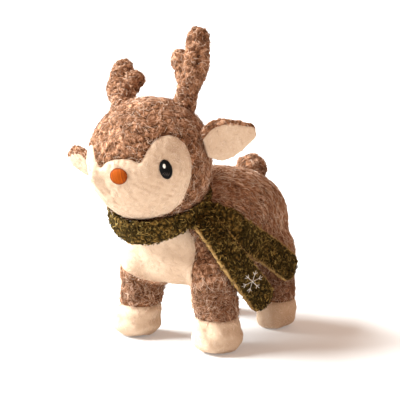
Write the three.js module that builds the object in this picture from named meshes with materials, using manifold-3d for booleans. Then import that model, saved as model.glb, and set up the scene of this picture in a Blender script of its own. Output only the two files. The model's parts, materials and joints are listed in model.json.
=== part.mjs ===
// Plush deer, standing, with felted wool skins, fibre stuffing and a loose scarf.
// Millimetres, +Z up, the deer faces -Y and its left side is +X.
import * as THREE from 'three';
import { mergeVertices } from 'three/addons/utils/BufferGeometryUtils.js';
import Module from 'manifold-3d';

const wasm = await Module();
wasm.setup();

// Cloth and clearances
const seamGap = 0.3;
const runningGap = 0.5;
const woolSkin = 2.0;
const antlerSkin = 1.6;
const overrun = 30;
const cutterSize = 300;
const meshTolerance = 0.06;
const pocketRoundSteps = 4;
const pocketWaistShare = 0.35;
const pocketShoulderShare = 0.94;

// Head: a ball of wool cloth, turned and tipped on the neck
const headRadius = 47.2;
const headAside = -3.5;
const headForward = 68;
const headHeight = 139.8;
const headTurnDegrees = 8.3;
const headTipDegrees = -9.3;
const headSides = 24;
const headRings = 16;
const innerHeadSides = 20;
const innerHeadRings = 12;
const chinFlat = 2.4;
const hollowSides = 36;
const hollowRings = 24;
const maskSteps = 26;
const coneReachShare = 1.7;
const coneTipShare = 1.6;

// Neck: a stuffed plug that the head turns and nods on
const neckLeanDegrees = 27;
const neckRadius = 28.5;
const neckLength = 46;
const plugRadius = 21;
const plugLength = 17;
const plugRound = 6;
const plugSides = 18;
const headOpeningRadius = 17;
const neckStartShare = 0.4;
const neckFlareShare = 0.06;

// Body: chest, barrel and rump
const bodyLength = 131;
const bodyHalfWidth = 47;
const bodyHalfHeight = 43;
const bodyMiddleHeight = 85;
const chestForward = 65;
const bodySides = 20;
const innerBodySides = 14;
const chestRound = 22;
const rumpRound = 30;
const bodySquareness = 2.3;
const bibHalfWidth = 33;
const bibAside = -6;
const bibTop = 112;
const bibBack = 26;

// Legs: ball at the hip or shoulder, straight sleeve, foot cap with a flat sole
const hipHeight = 61;
const hipSpread = 32.5;
const frontLeftOutward = 1;
const frontRightInward = 3;
const rearRightInward = 10;
const shoulderForward = 44;
const hipBack = 38;
const rearRightBack = 5;
const legBallRadius = 19.5;
const legRadius = 17;
const footSeamHeight = 25;
const rearSeamDrop = 3;
const footHalfWidth = 19;
const footHalfLength = 20;
const rearFootShare = 0.88;
const toeForward = 2.5;
const footOutward = 6;
const soleRound = 10;
const soleSquareness = 2.8;
const soleFlat = 0.5;
const legSwingDegrees = 10;
const legSides = 14;
const innerLegSides = 12;
const thighShare = 1.02;
const seamAsideShare = 0.75;

// Antlers: round stem with one rounded prong on the inner side
const antlerTopRadius = 9.4;
const antlerBallShare = 0.915;
const antlerWaistShare = 0.745;
const antlerBallRadius = antlerTopRadius * antlerBallShare;
const antlerWaistRadius = antlerTopRadius * antlerWaistShare;
const antlerLength = 48;
const antlerSides = 12;
const prongRadius = 7.2;
const prongReach = 12;
const prongHeight = 32;
const antlerSwingDegrees = 12;
const antlerOpening = 5;
const antlerRoomShare = 0.5;

// Ears: two leaves of cloth, wool behind and a pale lining in front
const earLength = 34;
const earHalfWidth = 13;
const earLayer = 3;
const earHalfThickness = earLayer + seamGap / 2;
const earThinShare = 0.35;
const earTipShare = 0.17;
const earSquareness = 2.4;

// Tail: short round stub above the rump
const tailBallRadius = 10;
const tailHalfWidth = 13.4;
const tailHalfDepth = 11;
const tailLength = 9;
const tailHeight = 112.5;
const tailBack = 54.5;
const tailLeanDegrees = 20;
const tailSwingDegrees = 12;
const tailSides = 14;
const tailSleeveShare = 0.95;

// Scarf: a strip of looped wool, wound once round the neck with two free ends
const scarfRingRadius = 34;
const scarfRingDrop = 35;
const scarfAside = -1.5;
const scarfForward = 4.5;
const scarfRollDegrees = 5.5;
const scarfPitchDegrees = 4;
const scarfHalfThickness = 5.8;
const scarfHalfWidth = 12;
const stripHalfWidth = 12.2;
const stripHalfThickness = 2.4;
const stripShoulderGap = 1;
const scarfSquareness = 2.4;
const stripLiftDegrees = 45;
const liftShares = [0, 0.2, 0.45, 0.7, 1];
const stripSquareness = 3.5;
const stripEndShare = 0.8;

// Embroidery
const threadHeight = 1.2;
const eyeHalfWidth = 4.4;
const eyeHalfHeight = 6.7;
const eyeLeanDegrees = 8;
const eyeAsideShare = 0.665;
const eyeLiftShare = -0.095;
const noseHalfWidth = 7;
const noseHalfHeight = 5.7;
const noseLiftShare = -0.1;
const ovalStartShare = 0.6;
const glintRadius = 1.4;
const glintHalfHeight = 1.75;
const glintThread = 0.6;
const glintAside = 0.7;
const glintLift = 2.6;
const flakeRadius = 8.2;
const flakeThread = 1;
const flakeTwigThread = 0.8;
const flakeTwig = 3;
const flakeArms = 6;
const flakePlaceShare = 0.72;
const twigPlaceShare = 0.55;
const twigSplayDegrees = 48;

const right = new THREE.Vector3(1, 0, 0);
const back = new THREE.Vector3(0, 1, 0);
const up = new THREE.Vector3(0, 0, 1);
const radians = THREE.MathUtils.degToRad;

// Turns a closed BufferGeometry into a solid for cutting and joining, with its faces outward.
function solidOf(geometry) {
  const bare = geometry.index ? geometry.clone() : mergeVertices(geometry.clone());
  bare.deleteAttribute('normal');
  bare.deleteAttribute('uv');
  const merged = mergeVertices(bare);
  const triangles = new Uint32Array(merged.index.array);
  const points = new Float32Array(merged.attributes.position.array);
  const mesh = new wasm.Mesh({ numProp: 3, vertProperties: points, triVerts: triangles });
  const solid = new wasm.Manifold(mesh);
  if (solid.volume() > 0) return solid;
  for (let i = 0; i < triangles.length; i += 3) {
    [triangles[i], triangles[i + 1]] = [triangles[i + 1], triangles[i]];
  }
  return new wasm.Manifold(new wasm.Mesh({ numProp: 3, vertProperties: points, triVerts: triangles }));
}

// Turns a solid back into a BufferGeometry.
function geometryOf(solid) {
  const mesh = solid.simplify(meshTolerance).getMesh();
  const geometry = new THREE.BufferGeometry();
  geometry.setAttribute('position', new THREE.BufferAttribute(new Float32Array(mesh.vertProperties), 3));
  geometry.setIndex(new THREE.BufferAttribute(new Uint32Array(mesh.triVerts), 1));
  geometry.computeVertexNormals();
  return geometry;
}

const moved = (solid, matrix) => solid.transform(matrix.elements);
const joined = (solids) => solids.reduce((sum, solid) => sum.add(solid));
const cutBy = (solid, cutters) => cutters.reduce((rest, cutter) => rest.subtract(cutter), solid);

// The largest body of a solid, without the crumbs that a cut can leave.
const mainPiece = (solid) => solid.decompose().sort((one, other) => other.volume() - one.volume())[0];

function placing(position, quaternion = new THREE.Quaternion()) {
  return new THREE.Matrix4().compose(position, quaternion, new THREE.Vector3(1, 1, 1));
}

// How much wider a many-sided hole is drawn, so that a round piece still turns inside its flats.
const aroundFlats = (sides) => 1 / Math.cos(Math.PI / sides);

const turning = (axis, degrees) => new THREE.Quaternion().setFromAxisAngle(axis, radians(degrees));

// A point of a rounded oval: squareness 2 is an ellipse, higher values have fuller corners.
function ovalPoint(station, turn, squareness) {
  const share = (value) => Math.sign(value) * Math.abs(value) ** (2 / squareness);
  return station.centre
    .clone()
    .addScaledVector(station.wide, station.halfWidth * share(Math.cos(turn)))
    .addScaledVector(station.tall, station.halfHeight * share(Math.sin(turn)));
}

// The stations of a rounded end, from its tip to the full section, along the given direction.
function domeStations(station, direction, length, steps, fullness) {
  const stations = [];
  for (let step = 1; step < steps; step += 1) {
    const share = Math.cos((step / steps) * Math.PI / 2);
    const size = (1 - share ** fullness) ** (1 / fullness);
    stations.push({
      ...station,
      centre: station.centre.clone().addScaledVector(direction, length * share),
      halfWidth: station.halfWidth * size,
      halfHeight: station.halfHeight * size,
    });
  }
  return stations;
}

// A closed skin through oval stations, with a rounded or flat end at each side. Grow moves it outward.
function loft(plainStations, options, grow = 0) {
  const { sides, startRound = 0, endRound = 0, roundSteps = 4, squareness = 2 } = options;
  const { fullness = 2, endFullness = fullness, startWay } = options;
  const stations = plainStations.map((station) => ({
    ...station,
    halfWidth: station.halfWidth + grow,
    halfHeight: station.halfHeight + grow,
  }));
  const first = stations[0];
  const last = stations[stations.length - 1];
  const intoStart = startWay ?? stations[0].centre.clone().sub(stations[1].centre).normalize();
  const intoEnd = last.centre.clone().sub(stations[stations.length - 2].centre).normalize();
  const startReach = startRound > 0 ? startRound + grow : 0;
  const endReach = endRound > 0 ? endRound + grow : 0;
  const opening = startReach > 0 ? domeStations(first, intoStart, startReach, roundSteps, fullness) : [];
  const closing = endReach > 0 ? domeStations(last, intoEnd, endReach, roundSteps, endFullness) : [];
  const rings = [...opening, ...stations, ...closing.reverse()];
  const points = [];
  rings.forEach((ring) => {
    for (let side = 0; side < sides; side += 1) {
      points.push(ovalPoint(ring, (side / sides) * Math.PI * 2, squareness));
    }
  });
  const startTip = points.push(first.centre.clone().addScaledVector(intoStart, startReach)) - 1;
  const endTip = points.push(last.centre.clone().addScaledVector(intoEnd, endReach)) - 1;
  const faces = [];
  for (let side = 0; side < sides; side += 1) {
    const next = (side + 1) % sides;
    faces.push(startTip, next, side);
    for (let ring = 0; ring + 1 < rings.length; ring += 1) {
      const low = ring * sides;
      const high = low + sides;
      faces.push(low + side, low + next, high + side, low + next, high + next, high + side);
    }
    const top = (rings.length - 1) * sides;
    faces.push(endTip, top + side, top + next);
  }
  return solidOf(indexed(points, faces));
}

function indexed(points, faces) {
  const geometry = new THREE.BufferGeometry().setFromPoints(points);
  geometry.setIndex(faces);
  return geometry;
}

// Even stations on a smooth line through chosen ones.
function smoothStations(chosen, steps) {
  const centres = new THREE.CatmullRomCurve3(chosen.map((station) => station.centre));
  const sizes = new THREE.CatmullRomCurve3(
    chosen.map((station) => new THREE.Vector3(station.halfWidth, station.halfHeight, 0)),
  );
  const stations = [];
  for (let step = 0; step <= steps; step += 1) {
    const share = step / steps;
    const size = sizes.getPoint(share);
    const nearest = chosen[Math.round(share * (chosen.length - 1))];
    stations.push({ ...nearest, centre: centres.getPoint(share), halfWidth: size.x, halfHeight: size.y });
  }
  return stations;
}

const boxSolid = (width, depth, height, centre) =>
  moved(solidOf(new THREE.BoxGeometry(width, depth, height)), placing(centre));

const ballSolid = (radius, sides, rings) => solidOf(new THREE.SphereGeometry(radius, sides, rings));

// A prism whose outline lies in the X-Z plane and which runs along Y between two places.
function prismAlongY(outline, front, rear) {
  const shape = new THREE.Shape(outline);
  const geometry = new THREE.ExtrudeGeometry(shape, { depth: rear - front, bevelEnabled: false });
  geometry.rotateX(Math.PI / 2);
  geometry.translate(0, rear, 0);
  return solidOf(geometry);
}

// An outline moved inward by a distance, point by point along its own normals.
function insetOutline(outline, distance) {
  const area = THREE.ShapeUtils.area(outline);
  const side = Math.sign(area) * distance;
  return outline.map((point, index) => {
    const before = outline[(index + outline.length - 1) % outline.length];
    const after = outline[(index + 1) % outline.length];
    const along = after.clone().sub(before).normalize();
    return new THREE.Vector2(point.x - along.y * side, point.y + along.x * side);
  });
}

// Where the head sits and how it is turned
const headCentre = new THREE.Vector3(headAside, -headForward, headHeight);
const headTurn = new THREE.Quaternion().setFromEuler(
  new THREE.Euler(0, radians(headTipDegrees), radians(headTurnDegrees), 'ZXY'),
);
const neckAxis = up.clone().applyAxisAngle(right, radians(neckLeanDegrees));
const onNeck = (distance) => headCentre.clone().addScaledVector(neckAxis, -distance);

// A stuffed plug, turned about the neck, whose hollow top carries the ball of the head.
function neckPlug(grow) {
  const radius = (plugRadius + grow) * (grow > 0 ? aroundFlats(plugSides) : 1);
  const seat = headRadius + seamGap - grow;
  const floor = headRadius + plugLength + grow;
  const rim = Math.asin(radius / seat);
  const outline = new THREE.Path();
  outline.moveTo(0, seat);
  outline.absarc(0, 0, seat, Math.PI / 2, Math.PI / 2 - rim, true);
  outline.lineTo(radius, floor - plugRound);
  outline.quadraticCurveTo(radius, floor, radius - plugRound, floor);
  outline.lineTo(0, floor);
  const points = outline.getPoints(3).map((point) => new THREE.Vector2(Math.max(0, point.x), point.y));
  const turned = new THREE.LatheGeometry(points, plugSides);
  const down = new THREE.Quaternion().setFromUnitVectors(back, neckAxis.clone().negate());
  return moved(solidOf(turned), placing(headCentre, down));
}

// Head form in its own frame: a ball, a little flatter towards the chin
function headForm(grow, sides = headSides, rings = headRings) {
  const geometry = new THREE.SphereGeometry(headRadius + grow, sides, rings);
  geometry.rotateX(Math.PI / 2);
  const places = geometry.attributes.position;
  for (let i = 0; i < places.count; i += 1) {
    const point = new THREE.Vector3().fromBufferAttribute(places, i);
    const towards = point.clone().normalize();
    const chinShare = 2 * Math.max(0, -towards.y) * Math.max(0, -towards.z);
    point.addScaledVector(towards, -chinFlat * chinShare);
    places.setXYZ(i, point.x, point.y, point.z);
  }
  return solidOf(geometry);
}

const innerHead = (grow) => headForm(grow, innerHeadSides, innerHeadRings);

// The pale mask seen from the front: two eye lobes over a muzzle, as shares of the head's radius
const maskShares = [
  [0, 0.15],
  [0.22, 0.12],
  [0.345, 0.05],
  [0.42, 0.14],
  [0.5, 0.27],
  [0.6, 0.385],
  [0.74, 0.39],
  [0.87, 0.24],
  [0.925, 0.03],
  [0.9, -0.24],
  [0.8, -0.47],
  [0.62, -0.7],
  [0.32, -0.86],
  [0, -0.9],
];

// A cutter that fans out from the middle of a ball through an outline drawn on its front.
function frontCone(outline, radius, inset) {
  const rim = outline.map((point) => {
    const depth = Math.sqrt(Math.max(0, radius ** 2 - point.x ** 2 - point.y ** 2));
    return new THREE.Vector3(point.x, -depth, point.y);
  });
  const reach = radius * coneReachShare;
  const turnWay = Math.sign(THREE.ShapeUtils.area(outline));
  const far = rim.map((point, index) => {
    const before = rim[(index + rim.length - 1) % rim.length];
    const after = rim[(index + 1) % rim.length];
    const inward = new THREE.Vector3().crossVectors(after.clone().sub(before), point).normalize();
    return point.clone().addScaledVector(inward, -turnWay * inset).normalize().multiplyScalar(reach);
  });
  const points = [...far, new THREE.Vector3(), new THREE.Vector3(0, -reach * coneTipShare, 0)];
  const faces = [];
  far.forEach((point, index) => {
    const next = (index + 1) % far.length;
    faces.push(far.length, index, next, far.length + 1, next, index);
  });
  return solidOf(indexed(points, faces));
}

// Half an outline made whole by its mirror image, through smooth corners between the listed points.
function mirroredOutline(halfShares, width, height, steps) {
  const half = new THREE.SplineCurve(halfShares.map(([x, z]) => new THREE.Vector2(x * width, z * height)));
  const points = half.getSpacedPoints(steps);
  return [...points, ...points.slice(1, -1).reverse().map((point) => new THREE.Vector2(-point.x, point.y))];
}

const maskOutline = mirroredOutline(maskShares, headRadius, headRadius, maskSteps);
const faceCone = (inset) => frontCone(maskOutline, headRadius, inset);

// Antler form in its own frame: the ball's centre at the origin, the stem along +Z, the prong
// towards +X. Stem rows: share of the length, shift away from the prong, share of the top radius.
const antlerStemShares = [
  [0, 0, antlerBallShare],
  [0.22, 0, antlerWaistShare],
  [0.45, 0.02, 0.95],
  [0.68, 0.04, 1],
  [0.84, 0, 0.9],
  [1, -0.03, 0.88],
];

// Prong rows: shares of its reach, of its height and of its radius
const prongShares = [
  [0.2, 0.5, 1],
  [0.64, 0.775, 0.92],
  [1, 1, 1],
];

function antlerForm(grow) {
  const stemStations = antlerStemShares.map(([height, aside, radius]) => ({
    centre: new THREE.Vector3(-aside * antlerLength, 0, height * antlerLength),
    wide: right,
    tall: back,
    halfWidth: radius * antlerTopRadius,
    halfHeight: radius * antlerTopRadius,
  }));
  const stemEnds = { startRound: antlerBallRadius, endRound: antlerTopRadius, roundSteps: 3 };
  const stem = loft(stemStations, { sides: antlerSides, ...stemEnds }, grow);
  const prongPlace = ([aside, height]) => new THREE.Vector3(aside * prongReach, 0, height * prongHeight);
  const along = prongPlace([1, 1]).sub(prongPlace(prongShares[0])).normalize();
  const prongStations = prongShares.map(([aside, height, radius]) => ({
    centre: prongPlace([aside, height]),
    wide: new THREE.Vector3().crossVectors(back, along),
    tall: back,
    halfWidth: radius * prongRadius,
    halfHeight: radius * prongRadius,
  }));
  return stem.add(loft(prongStations, { sides: 8, endRound: prongRadius, roundSteps: 3 }, grow));
}

// Where each antler leaves the ball of the head and which way its stem points
const antlerRoots = {
  left: {
    side: 1,
    fromShares: new THREE.Vector3(0.58, 0.24, 0.78),
    alongShares: new THREE.Vector3(0.3, 0.23, 0.93),
  },
  right: {
    side: -1,
    fromShares: new THREE.Vector3(-0.56, 0.24, 0.79),
    alongShares: new THREE.Vector3(-0.31, 0.68, 0.66),
  },
};

// The antler's frame on the head: +Z along the stem, +X towards the middle of the head
function antlerPlace({ side, fromShares, alongShares }) {
  const stem = alongShares.clone().normalize();
  const inward = new THREE.Vector3(-side, 0, 0);
  inward.addScaledVector(stem, -inward.dot(stem)).normalize();
  const depth = new THREE.Vector3().crossVectors(stem, inward);
  const seat = fromShares.clone().normalize().multiplyScalar(headRadius);
  return new THREE.Matrix4().makeBasis(inward, depth, stem).setPosition(seat);
}

// The room that a limb needs at its root: its ball, and a shaft flared by the swing on each side.
function pocket({ ballRadius, shaftRadius, shaftLength, degrees, sides }) {
  const flare = shaftLength * Math.tan(radians(degrees));
  const wider = aroundFlats(sides);
  const stations = [
    [0, ballRadius],
    [
      shaftLength * pocketWaistShare,
      Math.max(ballRadius * pocketShoulderShare, shaftRadius + flare * pocketWaistShare),
    ],
    [shaftLength, shaftRadius + flare],
  ].map(([height, radius]) => ({
    centre: new THREE.Vector3(0, 0, height),
    wide: right,
    tall: back,
    halfWidth: radius * wider,
    halfHeight: radius * wider,
  }));
  const ends = { startRound: ballRadius * wider, roundSteps: pocketRoundSteps };
  return loft(stations, { sides, ...ends }, runningGap);
}

// Torso stations from chest to rump: place along the length, half width, middle height, half height
const torsoShares = [
  [0.0, 0.88, 0.98, 0.92],
  [0.35, 0.98, 1.0, 1.0],
  [0.7, 1.0, 1.0, 1.0],
  [1.0, 0.95, 0.975, 0.94],
];

function torsoForm(grow, sides) {
  const start = -chestForward + chestRound;
  const end = -chestForward + bodyLength - rumpRound;
  const chosen = torsoShares.map(([along, wide, middle, high]) => ({
    centre: new THREE.Vector3(0, start + along * (end - start), middle * bodyMiddleHeight),
    wide: right,
    tall: up,
    halfWidth: wide * bodyHalfWidth,
    halfHeight: high * bodyHalfHeight,
  }));
  const ends = { startRound: chestRound, endRound: rumpRound, fullness: bodySquareness };
  return loft(smoothStations(chosen, 4), { sides, squareness: bodySquareness, ...ends }, grow);
}

function neckForm(grow, sides) {
  const stations = [0, 0.5, 1].map((share) => ({
    centre: onNeck(headRadius * neckStartShare + share * neckLength),
    wide: right,
    tall: new THREE.Vector3().crossVectors(neckAxis, right),
    halfWidth: neckRadius * (1 + neckFlareShare * share),
    halfHeight: neckRadius,
  }));
  return loft(stations, { sides }, grow);
}

const bodyForm = (grow, sides) => torsoForm(grow, sides).add(neckForm(grow, sides));

// Bib outline seen from the front, narrow between the legs and wide under the scarf
const bibShares = [
  [0.62, 0.2],
  [0.74, 0.5],
  [0.92, 0.68],
  [1.0, 0.8],
  [1.0, 1.0],
];

function bibPrism(inset) {
  const edge = (side) => bibShares.map(
    ([x, z]) => new THREE.Vector2(bibAside + side * x * bibHalfWidth, z * bibTop),
  );
  const shape = insetOutline([...edge(1), ...edge(-1).reverse()], inset);
  return prismAlongY(shape, -chestForward - overrun, bibBack);
}

// Leg form in its own frame: the ball's centre at the origin and the sole below it.
// Sleeve rows: shares of the drop to the foot seam, of the outward lean and of the leg's radius.
const sleeveShares = [
  [0.5, 0.3, thighShare],
  [1, seamAsideShare, 0.98],
];

// Foot rows: shares of the drop below the seam, of the outward lean, of the toe and of the foot's size
const footShares = [
  [0.5, 0.95, 0.7, 0.97],
  [1, 1, 1, 1],
];

function legForm(grow, { side, seamHeight, footShare }, sides) {
  const outward = footOutward * side;
  const seam = seamHeight - hipHeight;
  const heel = soleRound - soleFlat - hipHeight;
  const facing = { wide: right, tall: back };
  const hip = { ...facing, centre: new THREE.Vector3(), halfWidth: legBallRadius, halfHeight: legBallRadius };
  const sleeve = sleeveShares.map(([drop, lean, wide]) => ({
    ...facing,
    centre: new THREE.Vector3(lean * outward, 0, drop * seam),
    halfWidth: wide * legRadius,
    halfHeight: wide * legRadius,
  }));
  const foot = footShares.map(([drop, lean, toe, wide]) => ({
    ...facing,
    centre: new THREE.Vector3(lean * outward, -toe * toeForward, seam + drop * (heel - seam)),
    halfWidth: wide * footShare * footHalfWidth,
    halfHeight: wide * footShare * footHalfLength,
  }));
  const ball = { startRound: legBallRadius, startWay: up };
  const sole = { endRound: soleRound, endFullness: soleSquareness };
  return loft([hip, ...sleeve, ...foot], { sides, roundSteps: 3, ...ball, ...sole }, grow);
}

// The stance of the photograph: the front feet a little to the left, the rear right one inward.
const hipAt = (x, y) => new THREE.Vector3(x, y, hipHeight);
const frontFoot = { seamHeight: footSeamHeight, footShare: 1 };
const rearFoot = { seamHeight: footSeamHeight - rearSeamDrop, footShare: rearFootShare };
const rearRightHip = hipAt(rearRightInward - hipSpread, hipBack + rearRightBack);
const legs = {
  front_left: { ...frontFoot, side: 1, root: hipAt(hipSpread + frontLeftOutward, -shoulderForward) },
  front_right: { ...frontFoot, side: -1, root: hipAt(frontRightInward - hipSpread, -shoulderForward) },
  rear_left: { ...rearFoot, side: 1, root: hipAt(hipSpread, hipBack) },
  rear_right: { ...rearFoot, side: -1, root: rearRightHip },
};

function legPocket({ side, root, seamHeight }) {
  const lean = -side * Math.atan2(footOutward * seamAsideShare, hipHeight - seamHeight);
  const down = new THREE.Quaternion().setFromEuler(new THREE.Euler(Math.PI, lean, 0, 'YXZ'));
  const room = {
    ballRadius: legBallRadius,
    shaftRadius: legRadius * thighShare,
    shaftLength: hipHeight - seamHeight,
    degrees: legSwingDegrees,
    sides: legSides,
  };
  return moved(pocket(room), placing(root, down));
}

// Tail form in its own frame: the ball's centre at the origin, the tip along +Z
function tailForm(grow) {
  const stations = [0, 0.5, 1].map((share) => {
    const swell = Math.sin(share * Math.PI / 2);
    return {
      centre: new THREE.Vector3(0, 0, share * tailLength),
      wide: right,
      tall: back,
      halfWidth: tailBallRadius + (tailHalfWidth - tailBallRadius) * swell,
      halfHeight: tailBallRadius + (tailHalfDepth - tailBallRadius) * swell,
    };
  });
  const ends = { startRound: tailBallRadius, endRound: tailHalfDepth, roundSteps: 3 };
  return loft(stations, { sides: tailSides, ...ends }, grow);
}

const tailRoot = new THREE.Vector3(0, tailBack, tailHeight);
const tailTurn = turning(right, -tailLeanDegrees);

// Scarf ring round the neck, thick and rounded, before the head and the body shape its inner side
function scarfRing() {
  const sides = 8;
  const steps = 24;
  const tilt = turning(back, -scarfRollDegrees).multiply(turning(right, scarfPitchDegrees));
  const axis = neckAxis.clone().applyQuaternion(tilt);
  const aside = right.clone().applyQuaternion(tilt);
  const across = new THREE.Vector3().crossVectors(axis, aside).normalize();
  const middle = onNeck(scarfRingDrop).add(new THREE.Vector3(scarfAside, -scarfForward, 0));
  const points = [];
  const faces = [];
  for (let step = 0; step < steps; step += 1) {
    const turn = (step / steps) * Math.PI * 2;
    const outward = aside.clone().multiplyScalar(Math.cos(turn)).addScaledVector(across, Math.sin(turn));
    const station = {
      centre: middle.clone().addScaledVector(outward, scarfRingRadius),
      wide: outward,
      tall: axis,
      halfWidth: scarfHalfThickness,
      halfHeight: scarfHalfWidth,
    };
    for (let side = 0; side < sides; side += 1) {
      points.push(ovalPoint(station, (side / sides) * Math.PI * 2, scarfSquareness));
      const next = (side + 1) % sides;
      const here = step * sides;
      const there = ((step + 1) % steps) * sides;
      faces.push(here + side, there + side, here + next, here + next, there + side, there + next);
    }
  }
  return solidOf(indexed(points, faces));
}

// Ear leaf in its own frame: the fold line along X, the tip along +Z, the back towards +Y.
// Rows: shares of the length and of the half width.
const earShares = [
  [0, 0.55],
  [0.18, 0.88],
  [0.4, 1],
  [0.65, 0.85],
  [0.83, 0.58],
];

function earLeaf(layer) {
  const stations = earShares.map(([along, wide]) => ({
    centre: new THREE.Vector3(0, 0, along * earLength),
    wide: right,
    tall: back,
    halfWidth: wide * earHalfWidth,
    halfHeight: earHalfThickness * (1 - earThinShare * along),
  }));
  const ends = { startRound: earHalfThickness, endRound: earLength * earTipShare, roundSteps: 3 };
  const leaf = loft(stations, { sides: 14, squareness: earSquareness, ...ends });
  const middle = new THREE.Vector3(0, layer * (cutterSize + seamGap) / 2, 0);
  return leaf.intersect(boxSolid(cutterSize, cutterSize, cutterSize, middle));
}

// Where the left ear leaves the ball of the head and which way it points
const earRootShares = new THREE.Vector3(0.985, -0.01, 0.16);
const earAlongShares = new THREE.Vector3(0.89, 0.43, 0.13);
const rightEarDropShare = 0.09;
const earLidDegrees = 18;

// The ear's frame on the head, seated on the skin by its rounded root.
function earPlace(side) {
  const sided = new THREE.Vector3(side, 1, 1);
  const drop = new THREE.Vector3(0, 0, side > 0 ? 0 : rightEarDropShare);
  const root = earRootShares.clone().multiply(sided).sub(drop).normalize();
  const along = earAlongShares.clone().multiply(sided).normalize();
  const level = new THREE.Vector3().crossVectors(along, root).normalize();
  const foldLine = level.applyAxisAngle(along, radians(side * earLidDegrees));
  const behind = new THREE.Vector3().crossVectors(along, foldLine);
  const seat = root.multiplyScalar(headRadius + seamGap + earHalfThickness);
  return new THREE.Matrix4().makeBasis(foldLine, behind, along).setPosition(seat);
}

const eyeAside = headRadius * eyeAsideShare;
const eyeLift = headRadius * eyeLiftShare;
const noseLift = headRadius * noseLiftShare;

// An oval column that stands on the face where its middle is seen from the front, for a stitched patch.
function faceOval(middle, halfWidth, halfHeight, leanDegrees) {
  const depth = Math.sqrt(headRadius ** 2 - middle.lengthSq());
  const outward = new THREE.Vector3(middle.x, -depth, middle.y).normalize();
  const lean = radians(leanDegrees);
  const shape = new THREE.Shape().absellipse(0, 0, halfWidth, halfHeight, 0, Math.PI * 2, false, lean);
  const options = { depth: headRadius, bevelEnabled: false, curveSegments: 9 };
  const geometry = new THREE.ExtrudeGeometry(shape, options);
  const across = new THREE.Vector3().crossVectors(up, outward).normalize();
  const upward = new THREE.Vector3().crossVectors(outward, across);
  const start = outward.clone().multiplyScalar(headRadius * ovalStartShare);
  geometry.applyMatrix4(new THREE.Matrix4().makeBasis(across, upward, outward).setPosition(start));
  return solidOf(geometry);
}

// Scarf ends: flat strips that hang over the left shoulder. Routes are shares of the strip's place
// beside the shoulder, of the chest's reach and of the body's height.
const stripSpread = hipSpread + legBallRadius + stripHalfThickness + stripShoulderGap;
const routePoint = ([x, y, z]) => new THREE.Vector3(x * stripSpread, y * chestForward, z * bodyMiddleHeight);

// A strip's middle line, with the way that its outer face looks at the top and at the free end.
function stripRoute(shares, topFacing, endFacing) {
  const curve = new THREE.CatmullRomCurve3(shares.map(routePoint));
  const frameAt = (share) => {
    const tangent = curve.getTangentAt(share);
    const facing = topFacing.clone().lerp(endFacing, share);
    const level = new THREE.Vector3().crossVectors(tangent, facing).normalize();
    return { centre: curve.getPointAt(share), tangent, level, outward: level.clone().cross(tangent) };
  };
  return { steps: shares.length * 2, frameAt };
}

const frontRouteShares = [
  [0.685, -0.93, 1.165],
  [0.86, -0.89, 1.04],
  [0.97, -0.8, 0.895],
  [1.03, -0.66, 0.75],
  [1.07, -0.49, 0.605],
  [1.08, -0.27, 0.435],
];
const rearRouteShares = [
  [0.905, -0.48, 1.03],
  [0.91, -0.26, 0.93],
  [0.93, -0.02, 0.83],
  [0.975, 0.22, 0.71],
  [1, 0.42, 0.61],
];
const coveredRouteShares = [
  [0.6, -0.88, 1.2],
  [0.76, -0.74, 1.15],
  [0.87, -0.6, 1.09],
  [0.905, -0.49, 1.035],
];
const frontTopShares = new THREE.Vector3(1, -0.1, 0.3);
const frontEndShares = new THREE.Vector3(1, -0.62, 0.15);
const frontRoute = stripRoute(frontRouteShares, frontTopShares, frontEndShares);
const rearRoute = stripRoute(rearRouteShares, right, right);
const coveredRoute = stripRoute(coveredRouteShares, right, right);

function scarfStrip(route, grow) {
  const size = { halfWidth: stripHalfWidth, halfHeight: stripHalfThickness };
  const stations = [];
  for (let step = 0; step <= route.steps; step += 1) {
    const { centre, level, outward } = route.frameAt(step / route.steps);
    stations.push({ centre, wide: level, tall: outward, ...size });
  }
  const ends = { startRound: stripHalfThickness, endRound: stripHalfWidth * stripEndShare, roundSteps: 3 };
  return loft(stations, { sides: 12, squareness: stripSquareness, ...ends }, grow);
}

// A plain six-armed snow star, stitched near the end of the front strip.
function snowflake() {
  const { centre, level, outward } = frontRoute.frameAt(flakePlaceShare);
  const frame = new THREE.Matrix4().makeBasis(level, outward.clone().cross(level), outward);
  frame.setPosition(centre.addScaledVector(outward, stripHalfThickness + seamGap + flakeThread / 2));
  const threads = [];
  for (let arm = 0; arm < flakeArms; arm += 1) {
    const turn = new THREE.Matrix4().makeRotationZ((arm / flakeArms) * Math.PI * 2);
    const bar = boxSolid(flakeRadius, flakeThread, flakeThread, new THREE.Vector3(flakeRadius / 2, 0, 0));
    threads.push(moved(bar, turn));
    for (const side of [1, -1]) {
      const twigMiddle = new THREE.Vector3(flakeTwig / 2, 0, 0);
      const twig = boxSolid(flakeTwig, flakeTwigThread, flakeTwigThread, twigMiddle);
      const splay = new THREE.Matrix4().makeRotationZ(side * radians(twigSplayDegrees));
      splay.setPosition(flakeRadius * twigPlaceShare, 0, 0);
      threads.push(moved(twig, turn.clone().multiply(splay)));
    }
  }
  return moved(joined(threads), frame);
}

// The fold at a strip's top: a frame whose X axis is the fold line.
function stripHinge(route) {
  const { centre, tangent, level, outward } = route.frameAt(0);
  return new THREE.Matrix4().makeBasis(level, outward, tangent.negate()).setPosition(centre);
}

// The room that a strip sweeps as it is lifted about its fold.
function stripRoom(route) {
  const hinge = stripHinge(route);
  const strip = moved(scarfStrip(route, runningGap), hinge.clone().invert());
  return liftShares.map((share) => {
    const lift = new THREE.Matrix4().makeRotationX(radians(share * stripLiftDegrees));
    return moved(strip, hinge.clone().multiply(lift));
  });
}

const hollowRadius = (headRadius + seamGap) * aroundFlats(hollowSides);
const headHollow = moved(ballSolid(hollowRadius, hollowSides, hollowRings), placing(headCentre));

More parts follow.
